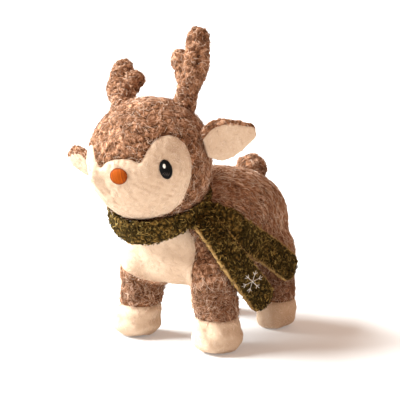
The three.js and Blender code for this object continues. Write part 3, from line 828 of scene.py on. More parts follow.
CURLY_NAP = Nap(
    (
        (Texture.CLOUDS, 8 * MM, 0.9 * MM),
        (Texture.CELLS, 4.2 * MM, -1.3 * MM),
        (Texture.CLOUDS, 2.2 * MM, 1.6 * MM),
        (Texture.CLOUDS, 1.1 * MM, 1.0 * MM),
    )
)
BRUSHED_NAP = Nap(
    ((Texture.CLOUDS, 2.6 * MM, 1.3 * MM), (Texture.CLOUDS, 1.2 * MM, 0.7 * MM)),
    stretch=3.2,
    flow=(0.0, 0.7, -0.72),
)
SMOOTH_NAP = Nap(((Texture.CLOUDS, 9 * MM, 0.8 * MM), (Texture.CLOUDS, 2.5 * MM, 0.3 * MM)))
LOOPED_NAP = Nap(((Texture.CELLS, 2.8 * MM, -1.7 * MM), (Texture.CLOUDS, 1.3 * MM, 1.0 * MM)))
FILL_NAP = Nap(((Texture.CLOUDS, 8 * MM, 0.8 * MM),))


def waves(points: np.ndarray, sizes: Sequence[float], seed: int) -> np.ndarray:
    """Returns soft waves that cross each other, between about -1 and 1.

    Args:
        points: The places.
        sizes: The lengths of the waves, in the unit of the places.
        seed: The seed of their directions.

    Returns:
        The height at each place.
    """
    rng = np.random.default_rng(seed)
    total = np.zeros(len(points))
    for size in sizes:
        for _ in range(4):
            axis = rng.normal(size=3)
            axis *= 2 * math.pi / size / np.linalg.norm(axis)
            total += np.sin(points @ axis + rng.uniform(0, 2 * math.pi))
    return total / math.sqrt(2.0 * len(sizes)) / 1.6


SEAM_BLEND = 0.8 * MM


def seam_share(field_value: np.ndarray) -> np.ndarray:
    """Returns how much of the second cloth shows beside a seam, from 0 to 1."""
    return np.clip(field_value / SEAM_BLEND * 0.5 + 0.5, 0, 1)


def gauss(value: np.ndarray, width: float) -> np.ndarray:
    """Returns a soft bell, 1 where the value is 0."""
    return np.exp(-((value / width) ** 2))


Flow = Callable[[np.ndarray], np.ndarray]


@dataclass(frozen=True)
class Pile:
    """How loose fibres lie on a cloth. Lengths are in metres."""

    count: int
    length: float
    width: float
    rise: float
    loose: float
    curl: float
    rings: int = 4
    drop: float = 0.3 * MM
    swirl: float = 0.6
    tuft: float = 9.0 * MM

    def grow(
        self,
        name: str,
        roots: Skin,
        seed: int,
        ground: Optional[Skin] = None,
        flow: Optional[Flow] = None,
    ) -> bpy.types.Object:
        """Lays the fibres on a skin.

        Args:
            name: The new piece's name.
            roots: The skin that they grow from.
            seed: The seed that makes each run the same.
            ground: The whole skin that they lie on, where that is more than their roots.
            flow: The direction that they are combed in at each place, if they are.

        Returns:
            One piece with all the fibres, each a closed tapered strand.
        """
        rng = np.random.default_rng(seed)
        count = self.count
        areas = roots.areas()
        picked = rng.choice(len(areas), count, p=areas / areas.sum())
        shares = rng.dirichlet((1, 1, 1), count)
        place = (roots.points[roots.faces[picked]] * shares[:, :, None]).sum(axis=1)
        root_normals = roots.normals()
        normal = (root_normals[roots.faces[picked]] * shares[:, :, None]).sum(axis=1)
        normal = unit(normal)
        skin = ground or roots
        normals = skin.normals()
        tree = skin.tree()
        way = self._ways(place, normal, rng, seed, flow)
        length = self.length * rng.uniform(0.5, 1.3, count)
        turn = rng.normal(0, self.curl, count)
        high = self.rise * rng.uniform(0.2, 1.0, count) ** 1.5
        free = rng.random(count) < self.loose
        free_high = self.rise * rng.uniform(1.2, 2.8, count)
        paths = np.empty((count, self.rings, 3))
        ups = np.empty((count, self.rings, 3))
        home = roots.tree() if ground else None
        stray = np.zeros(count, bool)
        for ring in range(self.rings):
            share = ring / (self.rings - 1)
            if ring:
                place = place + way * (length / (self.rings - 1))[:, None]
                angle = turn / (self.rings - 1) + rng.normal(0, 0.25, count)
                way = way * np.cos(angle)[:, None] + np.cross(normal, way) * np.sin(angle)[:, None]
                for i in range(count):
                    near, _, face, _ = tree.find_nearest(place[i])
                    place[i] = near
                    normal[i] = normals[skin.faces[face]].mean(axis=0)
                    stray[i] |= home is not None and home.find_nearest(near)[3] > 0.5 * MM
                normal = unit(normal)
                way = along_skin(way, normal)
            matted = high * math.sin(math.pi * share) - self.drop * (1 - math.sin(math.pi * share))
            standing = free_high * share**1.4 - self.drop * (1 - share)
            height = np.where(free, standing, matted)
            paths[:, ring] = place + normal * height[:, None]
            ups[:, ring] = normal
        paths[:, :, 2] = np.maximum(paths[:, :, 2], self.width)
        tint = np.where(stray, 0.95, rng.random(count))
        keep = ~stray | (rng.random(count) < 0.3)
        return self._strands(name, paths[keep], ups[keep], tint[keep], rng)

    def _ways(
        self,
        place: np.ndarray,
        normal: np.ndarray,
        rng: np.random.Generator,
        seed: int,
        flow: Optional[Flow],
    ) -> np.ndarray:
        """Returns the direction in which each fibre sets off.

        Args:
            place: The places of the roots.
            normal: The skin's direction there.
            rng: The source of what differs from fibre to fibre.
            seed: The seed of the swirls that neighbours share.
            flow: The direction that they are combed in at each place, if they are.

        Returns:
            One unit direction along the skin for each fibre.
        """
        sizes = (self.tuft, self.tuft * 0.6)
        swirls = np.stack([waves(place, sizes, seed * 3 + axis) for axis in range(3)], axis=1)
        loose = rng.normal(size=(len(place), 3))
        if flow:
            way = flow(place) + swirls * 0.25 + loose * 0.22
        else:
            way = swirls * self.swirl * 2.0 + loose * (1 - self.swirl)
        return along_skin(way, normal)

    def _strands(
        self, name: str, paths: np.ndarray, ups: np.ndarray, tint: np.ndarray, rng: np.random.Generator
    ) -> bpy.types.Object:
        """Makes three-sided closed strands along paths.

        Args:
            name: The new piece's name.
            paths: The places along each strand.
            ups: The outward direction at each place.
            tint: The shade of each strand, from 0 for dark to 1 for light.
            rng: The source of each strand's width.

        Returns:
            The piece, with a map that gives each strand its own cell.
        """
        count, rings = paths.shape[:2]
        along = unit(np.gradient(paths, axis=1))
        side = unit(np.cross(along, ups))
        over = np.cross(side, along)
        taper = 1 - 0.65 * np.abs(np.linspace(-0.6, 1, rings)) ** 2
        radius = self.width / 2 * rng.uniform(0.7, 1.3, count)[:, None] * taper[None, :]
        turns = np.radians([90.0, 210.0, 330.0])
        spread = np.cos(turns)[None, None, :, None] * side[:, :, None, :]
        spread = spread + np.sin(turns)[None, None, :, None] * over[:, :, None, :]
        points = paths[:, :, None, :] + radius[:, :, None, None] * spread
        per = rings * 3
        quads, cells = [], []
        for ring in range(rings - 1):
            for edge in range(3):
                here, there = ring * 3, ring * 3 + 3
                nxt = (edge + 1) % 3
                quads.append([here + edge, there + edge, there + nxt, here + nxt])
                low, top = ring / (rings - 1), (ring + 1) / (rings - 1)
                left, right = edge * 0.3, edge * 0.3 + 0.27
                cells.append([(left, low), (left, top), (right, top), (right, low)])
        last = per - 3
        caps = [[0, 1, 2], [last + 2, last + 1, last]]
        cap_cells = [[(0.91, 0.0), (0.97, 0.0), (0.94, 0.2)], [(0.91, 0.5), (0.97, 0.5), (0.94, 0.7)]]
        start = (np.arange(count) * per)[:, None]
        corners = np.array([i for face in quads + caps for i in face])
        cell = np.array([uv for face in cells + cap_cells for uv in face])
        sizes = np.array([4] * len(quads) + [3] * 2)
        grid = math.ceil(math.sqrt(count))
        origin = np.stack([np.arange(count) % grid, np.arange(count) // grid], axis=1) / grid
        uv = origin[:, None, :] + (cell[None] * 0.9 + 0.05) / grid
        shape = (points.reshape(-1, 3), (start + corners[None]).ravel(), np.tile(sizes, count))
        return Bench.threaded(name, shape, uv, np.repeat(tint, per))


@dataclass(frozen=True)
class Stitches:
    """Embroidery threads as closed round strands."""

    radius: float
    sides: int = 5

    def sew(
        self, name: str, paths: Sequence[np.ndarray], up: Sequence[float], seed: int
    ) -> bpy.types.Object:
        """Makes one thread along each path.

        Args:
            name: The new piece's name.
            paths: The points of each thread.
            up: The direction that the cloth faces.
            seed: The seed of the threads' shades.

        Returns:
            The piece.
        """
        rng = np.random.default_rng(seed)
        points, corners, sizes, tints, uvs = [], [], [], [], []
        turns = np.arange(self.sides) / self.sides * 2 * math.pi
        grid = math.ceil(math.sqrt(len(paths)))
        offset = 0
        for number, path in enumerate(paths):
            along = unit(np.gradient(path, axis=0))
            side = unit(np.cross(along, np.array(up)))
            over = np.cross(side, along)
            ring = np.cos(turns)[None, :, None] * side[:, None]
            ring = ring + np.sin(turns)[None, :, None] * over[:, None]
            thin = np.ones(len(path))
            thin[[0, -1]] = 0.55
            points.append((path[:, None] + ring * self.radius * thin[:, None, None]).reshape(-1, 3))
            base = np.array([number % grid, number // grid]) / grid
            for step in range(len(path) - 1):
                for edge in range(self.sides):
                    nxt = (edge + 1) % self.sides
                    here, there = offset + step * self.sides, offset + (step + 1) * self.sides
                    corners += [here + edge, there + edge, there + nxt, here + nxt]
                    sizes.append(4)
                    low, top = step / (len(path) - 1) * 0.8, (step + 1) / (len(path) - 1) * 0.8
                    left, right = edge / self.sides * 0.95, (edge + 0.9) / self.sides * 0.95
                    for u, v in ((left, low), (left, top), (right, top), (right, low)):
                        uvs.append(base + np.array([u + 0.02, v + 0.02]) / grid)
            last = offset + (len(path) - 1) * self.sides
            round_cap = range(self.sides)
            for ends, first, aside in ((round_cap, offset, 0.1), (reversed(round_cap), last, 0.3)):
                for edge in ends:
                    corners.append(first + edge)
                    round_place = np.array([math.cos(turns[edge]), math.sin(turns[edge])]) * 0.05
                    uvs.append(base + (np.array([aside, 0.9]) + round_place) / grid)
                sizes.append(self.sides)
            tints += [rng.random()] * (len(path) * self.sides)
            offset += len(path) * self.sides
        shape = (np.concatenate(points), np.array(corners), np.array(sizes))
        return Bench.threaded(name, shape, np.array(uvs), np.array(tints))


def inside_outline(places: np.ndarray, outline: np.ndarray) -> np.ndarray:
    """Returns how far each place is inside a closed outline, below zero outside.

    Args:
        places: Rows of two coordinates.
        outline: The outline's points in order.

    Returns:
        The signed distance for each place.
    """
    best = np.full(len(places), 1e9)
    crossings = np.zeros(len(places), int)
    for a, b in zip(outline, np.roll(outline, -1, axis=0)):
        edge = b - a
        share = np.clip(((places - a) @ edge) / max(edge @ edge, 1e-18), 0, 1)
        best = np.minimum(best, np.linalg.norm(places - a - share[:, None] * edge, axis=1))
        rises = (a[1] > places[:, 1]) != (b[1] > places[:, 1])
        if rises.any():
            where = a[0] + (places[:, 1] - a[1]) / (b[1] - a[1] if b[1] != a[1] else 1e-18) * edge[0]
            crossings += rises & (places[:, 0] < where)
    return np.where(crossings % 2 == 1, best, -best)


def smooth_closed(points: Sequence[tuple[float, float]], steps: int = 8) -> np.ndarray:
    """Returns a smooth closed line through points.

    Args:
        points: The points that the line passes.
        steps: How many places lie between two of them.

    Returns:
        The line's places in order.
    """
    knots = np.array(points, float)
    share = np.linspace(0, 1, steps, endpoint=False)[:, None]
    line = []
    for i in range(len(knots)):
        a, b, c, d = (knots[(i + k) % len(knots)] for k in (-1, 0, 1, 2))
        square, cube = 2 * a - 5 * b + 4 * c - d, 3 * b - a - 3 * c + d
        line.append(0.5 * (2 * b + (c - a) * share + square * share**2 + cube * share**3))
    return np.concatenate(line)


def edge_line(
    far: np.ndarray, high: np.ndarray, count: int, pick: Callable[[np.ndarray], float]
) -> np.ndarray:
    """Returns how high the edge of a flat form runs beside each of its points.

    Args:
        far: How far along the form each point lies.
        high: How high across the form each point lies.
        count: The number of steps along the form.
        pick: Takes the edge's height from the heights of one step.

    Returns:
        The edge's height for each point.
    """
    bins = np.linspace(far.min(), far.max(), count + 1)
    cell = np.clip(np.digitize(far, bins) - 1, 0, count - 1)
    edge = [pick(high[cell == i]) if (cell == i).any() else 0.0 for i in range(count)]
    return np.interp(far, (bins[:-1] + bins[1:]) / 2, edge)


# -------------------------------------------------------------- sub-assemblies


@dataclass
class Joint:
    """Where a cloth crosses between two bodies, as a line from start to end."""

    first: str
    second: str
    start: tuple[float, float, float]
    end: tuple[float, float, float]


@dataclass
class Cover:
    """Turns skins into finished cloth pieces with their fibres."""

    wall: float = 1.5 * MM
    made: list[str] = field(default_factory=list)
    materials: dict[str, bpy.types.Material] = field(default_factory=dict)

    def material(self, finish: Any) -> bpy.types.Material:
        """Returns the material of a finish, made once."""
        if finish.name not in self.materials:
            self.materials[finish.name] = finish.make()
        return self.materials[finish.name]

    def settle(
        self, piece: bpy.types.Object, finish: Any, body: str, joint: Optional[Joint] = None
    ) -> None:
        """Gives a piece its finish, and fixes it to its body; where it crosses a joint, it is left in
        place, fixed to no body.

        Args:
            piece: The piece.
            finish: Its finish, which names the record's material slot.
            body: The body that it rides on.
            joint: The bend, where the piece crosses a joint.
        """
        piece.data.materials.clear()
        piece.data.materials.append(self.material(finish))
        if joint:
            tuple(joint.start)
            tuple(joint.end)
            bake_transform(piece)
        else:
            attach(piece, body)
        self.made.append(piece.name)
        piece.data.calc_loop_triangles()
        LOG.info("made %s with %d triangles", piece.name, len(piece.data.loop_triangles))

    def cloth(
        self,
        name: str,
        skin: Skin,
        finish: WoolFinish,
        body: str,
        nodes: Sequence[str],
        joint: Optional[Joint] = None,
        fill: float = 0.8,
        wall: Optional[float] = None,
    ) -> bpy.types.Object:
        """Makes one cloth piece with a wall.

        Args:
            name: The piece's name.
            skin: Its outer surface.
            finish: Its finish.
            body: The body that it rides on.
            nodes: The nodes that it stands for.
            joint: The bend, where the piece crosses a joint.
            fill: How tightly it is stuffed; not used.
            wall: Its thickness, where it isn't the usual one.

        Returns:
            The piece.
        """
        piece = Bench.new(name, skin)
        Bench.modify(piece, "SOLIDIFY", thickness=wall or self.wall, offset=-1.0)
        self.settle(piece, finish, body, joint)
        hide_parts(*nodes)
        return piece

    def fibres(
        self,
        name: str,
        skin: Skin,
        pile: Pile,
        finish: FibreFinish,
        body: str,
        seed: int,
        joint: Optional[Joint] = None,
        ground: Optional[Skin] = None,
        flow: Optional[Flow] = None,
    ) -> bpy.types.Object:
        """Lays fibres on a skin as one piece.

        Args:
            name: The piece's name.
            skin: The skin under them.
            pile: How they lie.
            finish: Their finish.
            body: The body that they ride on.
            seed: The seed that makes each run the same.
            joint: The bend, where they cross a joint.
            ground: The whole skin that they lie on.
            flow: The direction that they are combed in.

        Returns:
            The piece.
        """
        piece = pile.grow(name, skin, seed, ground, flow)
        self.settle(piece, finish, body, joint)
        return piece


BROWN_PILE = Pile(8000, 7.5 * MM, 0.25 * MM, 1.2 * MM, 0.2, 1.5, swirl=0.45)
BRUSHED_PILE = Pile(6100, 9.0 * MM, 0.34 * MM, 0.8 * MM, 0.08, 0.5)
CREAM_PILE = Pile(2100, 7.0 * MM, 0.12 * MM, 0.2 * MM, 0.06, 1.4, drop=0.04 * MM)
WISP_PILE = Pile(1700, 13.0 * MM, 0.19 * MM, 1.7 * MM, 0.3, 1.9, 6, swirl=0.8)
LOOP_PILE = Pile(3000, 4.8 * MM, 0.56 * MM, 1.4 * MM, 0.05, 3.4, 5, swirl=0.2)
FLANK_WISPS = replace(WISP_PILE, loose=0.15)
LEG_PILE = Pile(3300, 7.0 * MM, 0.32 * MM, 1.1 * MM, 0.14, 1.4)
LEG_WISPS = replace(WISP_PILE, count=520, length=11 * MM)
FOOT_PILE = Pile(650, 6.5 * MM, 0.14 * MM, 0.2 * MM, 0.08, 1.4, drop=0.05 * MM)
LIMB_PILE = Pile(2300, 6.0 * MM, 0.34 * MM, 1.0 * MM, 0.14, 1.4)
EAR_PILE = Pile(1500, 4.5 * MM, 0.34 * MM, 0.7 * MM, 0.12, 1.4)
LINING_PILE = Pile(300, 5.0 * MM, 0.12 * MM, 0.12 * MM, 0.06, 1.3, drop=0.04 * MM)


@dataclass
class Head:
    """The ball of the head with its cream mask."""

    centre: Vector = field(default_factory=lambda: pivot("head_turn"))
    radius: float = 47.2 * MM
    turn: float = math.radians(8.3)
    tip: float = math.radians(-9.3)
    chin_flat: float = 2.4 * MM
    fur_sunk: float = 0.9 * MM
    felt_sunk: float = 0.5 * MM
    felt_rise: float = 0.36 * MM
    eye: tuple[float, float] = (0.665, -0.095)
    # Each socket's side, how deep it is and how far the felt swells beside it.
    sockets: tuple[tuple[int, float, float], ...] = (
        (1, 0.4 * MM, 0.4 * MM),
        (-1, 2.8 * MM, 4.3 * MM),
    )
    flat_way: tuple[float, float, float] = (0.87, 0.42, -0.25)
    flat_depth: float = 3.2 * MM
    mask: tuple[tuple[float, float], ...] = (
        (0.0, 0.15), (0.22, 0.12), (0.345, 0.05), (0.42, 0.14), (0.5, 0.27),
        (0.6, 0.385), (0.74, 0.39), (0.87, 0.24), (0.925, 0.03), (0.9, -0.24),
        (0.8, -0.47), (0.62, -0.7), (0.32, -0.86), (0.0, -0.9),
    )

    def place(self) -> Matrix:
        """Returns the head's frame."""
        spin = Matrix.Rotation(self.turn, 4, "Z") @ Matrix.Rotation(self.tip, 4, "Y")
        return Matrix.Translation(self.centre) @ spin

    def outline(self) -> np.ndarray:
        """Returns the mask's outline as shares of the radius, seen from the front."""
        half = list(self.mask)
        return smooth_closed(half + [(-x, z) for x, z in reversed(half[1:-1])], 6)

    def socket_depth(self, way: np.ndarray) -> np.ndarray:
        """Returns how far the eyes' stitches pull the felt in, below zero where it swells.

        Args:
            way: Directions from the middle of the head, in its own frame.

        Returns:
            The depth at each, in metres.
        """
        depth = np.zeros(len(way))
        for side, sunk, swell in self.sockets:
            aside = (way[:, 0] - side * self.eye[0]) * self.radius
            above = (way[:, 2] - self.eye[1]) * self.radius
            ahead = (way[:, 1] < 0) * 1.0
            pit = np.exp(-((aside / (5.0 * MM)) ** 2) - (above / (8.5 * MM)) ** 2)
            bank = np.exp(-(((aside + side * 9.0 * MM) / (4.2 * MM)) ** 2) - (above / (10.5 * MM)) ** 2)
            depth += ahead * (sunk * pit - swell * bank)
        return depth

    def build(self, cover: Cover) -> None:
        """Makes the brown ball, the mask and their fibres.

        Args:
            cover: The maker of cloth pieces.
        """
        ball = Bench.added(bpy.ops.mesh.primitive_ico_sphere_add, subdivisions=7, radius=self.radius)
        bare = Bench.skin(ball)
        rough, tufts = CURLY_NAP.pressed(ball)
        bpy.data.objects.remove(ball)
        way = unit(bare.points)
        inside = inside_outline(way[:, [0, 2]], self.outline()) * self.radius
        inside = np.where(way[:, 1] < 0, inside, -np.abs(inside) - 10 * MM)
        felt = waves(way, (0.9, 0.6, 0.35, 0.22, 0.13, 0.08), 5)
        chin = 2 * np.maximum(0, -way[:, 1]) * np.maximum(0, -way[:, 2]) * self.chin_flat
        flat = self.flat_depth * np.maximum(0, way @ np.array(self.flat_way)) ** 6
        pressed = chin + flat + self.socket_depth(way)
        pile = np.linalg.norm(rough, axis=1) - self.fur_sunk
        smooth = self.radius - self.felt_sunk + felt * self.felt_rise
        crease = gauss(inside, 1.2 * MM) * 0.9 * MM
        share = seam_share(inside)
        reach = pile * (1 - share) + smooth * share - crease - pressed
        turn = np.array(self.place())
        points = (way * reach[:, None]) @ turn[:3, :3].T + turn[:3, 3]
        # Painted shade: the fur is coloured darker for about 3 mm beside the mask's seam.
        near_mask = gauss(np.minimum(inside, 0), 3.0 * MM) * 0.35
        lift = np.clip(tufts - near_mask, 0, 1) * (1 - share) + np.clip(felt * 0.4 + 0.5, 0, 1) * share
        whole = Skin(points, bare.faces, lift)
        mask, fur = whole.split(inside)
        cover.cloth("head_fur_cloth", fur, BROWN_WOOL, "head", ["head_shell"])
        cover.cloth("face_felt_cloth", mask, CREAM_WOOL, "head", ["face_panel"])
        cover.fibres("head_fur_fibres", fur, BROWN_PILE, BROWN_FIBRE, "head", 11, ground=whole)
        cover.fibres("head_wisps", fur, WISP_PILE, WISP_FIBRE, "head", 13, ground=whole)
        cover.fibres("face_felt_fibres", mask, CREAM_PILE, CREAM_FIBRE, "head", 12)


@dataclass
class Leg:
    """One leg: a brown sleeve that bends at the hip, and a cream foot."""

    name: str
    seam: float = 25 * MM
    tilt: float = 0.34
    cut: float = 51 * MM
    reach: float = 26 * MM
    bend: float = 20 * MM
    lean: float = 0.125

    def __post_init__(self) -> None:
        """Finds the hip and the side."""
        self.hip = pivot(f"{self.name}_leg_swing")
        self.side = 1 if "left" in self.name else -1

    def way(self) -> Vector:
        """Returns the direction across the cut, down and outward."""
        return Vector((self.side * self.tilt, 0, -math.sqrt(1 - self.tilt**2)))

    def start(self) -> Vector:
        """Returns the cut's middle."""
        return Vector((self.hip.x, self.hip.y, self.cut))

    def joint(self) -> Joint:
        """Returns the bend between the torso and the leg."""
        start = self.start()
        end = start + self.way() * self.bend
        return Joint("torso", f"{self.name}_leg", tuple(start), tuple(end))

    def field(self, points: np.ndarray) -> np.ndarray:
        """Returns a value that is positive on the leg's own part of the skin.

        Args:
            points: Places on the skin.

        Returns:
            The value for each place.
        """
        below = (points - np.array(self.start())) @ np.array(self.way())
        lean = (self.hip.z - points[:, 2]) * self.lean * self.side
        aside = np.hypot(points[:, 0] - self.hip.x - lean, points[:, 1] - self.hip.y)
        return np.minimum(below, self.reach - aside)


@dataclass
class Torso:
    """The stuffed body and legs, made as one skin and cut at its seams."""

    middle: float = field(default_factory=lambda: pivot("tail_wag").x)
    legs: list[Leg] = field(default_factory=list)
    bib: tuple[tuple[float, float], ...] = (
        (26, 100), (33, 88), (36, 80), (35, 68), (33.5, 58),
        (31, 50), (25, 44), (23, 38), (9, 36), (-7, 38),
        (-15, 44), (-51, 44), (-51, 90), (-43, 112), (9, 122),
    )

    def __post_init__(self) -> None:
        """Places the four legs."""
        for end, seam in (("front", 25 * MM), ("rear", 22 * MM)):
            self.legs += [Leg(f"{end}_{side}", seam) for side in ("left", "right")]

    def base(self) -> bpy.types.Object:
        """Makes the smooth skin of the body with its legs.

        Returns:
            The piece, which is removed again once its skin is pressed.
        """
        nodes = ["body_shell", "belly_panel", "body_stuffing"]
        for leg in self.legs:
            nodes += [f"{leg.name}_leg", f"{leg.name}_foot", f"{leg.name}_leg_stuffing"]
        body = Bench.copied("body_base", nodes)
        Bench.remeshed(body, 2.6 * MM, 14, 0.9 * MM)
        Bench.modify(body, "SUBSURF", levels=1, render_levels=1)
        return body

    def build(self, cover: Cover) -> None:
        """Makes the torso, the bib, the legs and their fibres.

        Args:
            cover: The maker of cloth pieces.
        """
        body = self.base()
        smooth = Bench.skin(body)
        curly, curls = CURLY_NAP.pressed(body)
        brushed, streaks = BRUSHED_NAP.pressed(body)
        bpy.data.objects.remove(body)
        points, normals = smooth.points, smooth.normals()
        combed = self._combed(points)[:, None]
        rough = curly * (1 - combed) + brushed * combed
        tufts = curls * (1 - combed[:, 0]) + streaks * combed[:, 0]
        cream = self.bib_field(points)
        feet = [np.minimum(leg.field(points), leg.seam - points[:, 2]) for leg in self.legs]
        foot = np.max(feet, axis=0)
        felt = waves(points, (40 * MM, 26 * MM, 16 * MM), 6)
        lumps = waves(points, (18 * MM, 11 * MM), 7)
        pale = seam_share(np.maximum(cream, foot))
        edge = np.minimum(np.abs(cream), np.abs(foot))
        crease = gauss(edge, 1.4 * MM) * 1.0 * MM
        fine = waves(points, (8 * MM, 5.5 * MM, 4 * MM), 9)
        wave = np.where(foot > 0, lumps * 0.9 + felt * 0.3 + fine * 0.16, felt * 0.6 + fine * 0.14) * MM
        soft = points + normals * wave[:, None]
        sunk = normals * (0.5 - 0.7 * combed) * MM
        final = (rough - sunk) * (1 - pale)[:, None] + soft * pale[:, None]
        final -= normals * crease[:, None]
        final[:, 2] = np.maximum(final[:, 2], 0.1 * MM)
        # Painted shade: the colour height drops along the seam creases, so the cloth is darker there.
        height = np.clip(tufts - crease / MM * 0.3, 0, 1) * (1 - pale)
        height += np.clip(np.where(foot > 0, lumps, felt) * 0.4 + 0.5 - crease / MM * 0.4, 0, 1) * pale
        whole = Skin(final, smooth.faces, height)
        rest = whole
        for number, leg in enumerate(self.legs):
            rest = self._cut_leg(cover, rest, leg, number, whole)
        bib, fur = rest.split(self.bib_field(rest.points))
        cover.cloth("body_fur_cloth", fur, BROWN_WOOL, "torso", ["body_shell"])
        cover.cloth("bib_felt_cloth", bib, CREAM_WOOL, "torso", ["belly_panel"])
        combing = {"ground": whole, "flow": self.flow}
        for number, flank in enumerate(fur.split(fur.points[:, 0] - self.middle)):
            for kind, pile, finish, seed in (
                ("fibres", BRUSHED_PILE, BROWN_FIBRE, 21),
                ("wisps", FLANK_WISPS, WISP_FIBRE, 24),
            ):
                name = f"{('left', 'right')[number]}_flank_{kind}"
                cover.fibres(name, flank, pile, finish, "torso", seed + number, **combing)
        cover.fibres("bib_felt_fibres", bib, CREAM_PILE, CREAM_FIBRE, "torso", 23)

    @staticmethod
    def _combed(points: np.ndarray) -> np.ndarray:
        """Returns how much of the nap lies combed at each place.

        Args:
            points: Places on the skin.

        Returns:
            The share for each place, from 0 on the chest and legs to 1 on the flanks.
        """
        behind = np.clip((points[:, 1] + 6 * MM) / (14 * MM), 0, 1)
        above = np.clip((points[:, 2] - 34 * MM) / (20 * MM), 0, 1)
        return behind * above

    @staticmethod
    def flow(points: np.ndarray) -> np.ndarray:
        """Returns the direction in which the flank is combed: back and down, then straight down."""
        share = np.clip((points[:, 1] - 10 * MM) / (55 * MM), 0, 1)[:, None]
        return np.array([[0.0, 0.86, -0.5]]) * (1 - share) + np.array([[0.0, 0.1, -1.0]]) * share

    def bib_field(self, points: np.ndarray) -> np.ndarray:
        """Returns a value that is positive on the cream bib and belly.

        Args:
            points: Places on the skin.

        Returns:
            The value for each place.
        """
        outline = smooth_closed([(x * MM, z * MM) for x, z in self.bib], 6)
        fuzz = waves(points, (7 * MM, 4 * MM), 8) * 0.5 * MM
        ahead = np.minimum(inside_outline(points[:, [0, 2]], outline), -2.75 * MM - points[:, 1])
        under = np.minimum(15.0 * MM - np.abs(points[:, 0] - self.middle), 52 * MM - points[:, 2])
        return np.maximum(ahead, np.minimum(under, 59.75 * MM - points[:, 1])) + fuzz

    def _cut_leg(self, cover: Cover, rest: Skin, leg: Leg, number: int, whole: Skin) -> Skin:
        """Cuts one leg from the skin and makes its sleeve, foot and fibres.

        Args:
            cover: The maker of cloth pieces.
            rest: The skin that is left.
            leg: The leg.
            number: Its number, for the seeds.
            whole: The skin before any cut, on which the fibres lie.

        Returns:
            The skin without the leg.
        """
        limb, rest = rest.split(leg.field(rest.points))
        sleeve, foot = limb.split(limb.points[:, 2] - leg.seam)
        body = f"{leg.name}_leg"
        cover.cloth(f"{body}_cloth", sleeve, BROWN_WOOL, body, [body], leg.joint())
        cover.cloth(f"{leg.name}_foot_cloth", foot, CREAM_WOOL, body, [f"{leg.name}_foot"])
        for kind, pile, finish, seed in (
            ("fibres", LEG_PILE, BROWN_FIBRE, 30),
            ("wisps", LEG_WISPS, WISP_FIBRE, 70),
        ):
            name = f"{body}_{kind}"
            cover.fibres(name, sleeve, pile, finish, body, seed + number, leg.joint(), whole)
        cover.fibres(f"{leg.name}_foot_fibres", foot, FOOT_PILE, CREAM_FIBRE, body, 40 + number)
        return rest


@dataclass
class Limb:
    """A small stuffed part that copies one node's form: an antler or the tail."""

    name: str
    nodes: tuple[str, ...]
    voxel: float = 1.3 * MM
    rounds: int = 6
    count: int = 2300
    grow: float = 0.1 * MM
    rough: float = 1.6

    def build(self, cover: Cover, seed: int) -> None:
        """Makes the limb and its fibres.

        Args:
            cover: The maker of cloth pieces.
            seed: The seed of its fibres.
        """
        piece = Bench.copied(self.name, self.nodes)
        Bench.remeshed(piece, self.voxel, self.rounds, 0.5 * MM)
        Bench.modify(piece, "DISPLACE", strength=self.grow, mid_level=0.0)
        smooth = Bench.skin(piece)
        points, tufts = CURLY_NAP.pressed(piece)
        skin = Skin(smooth.points + (points - smooth.points) * self.rough, smooth.faces, tufts)
        bpy.data.objects.remove(piece)
        cover.cloth(f"{self.name}_cloth", skin, BROWN_WOOL, self.name, [self.nodes[0]], wall=1.0 * MM)
        pile = replace(LIMB_PILE, count=self.count)
        cover.fibres(f"{self.name}_fibres", skin, pile, BROWN_FIBRE, self.name, seed)
        wisps = replace(WISP_PILE, count=self.count // 7, length=9 * MM)
        cover.fibres(f"{self.name}_wisps", skin, wisps, WISP_FIBRE, self.name, seed + 20)


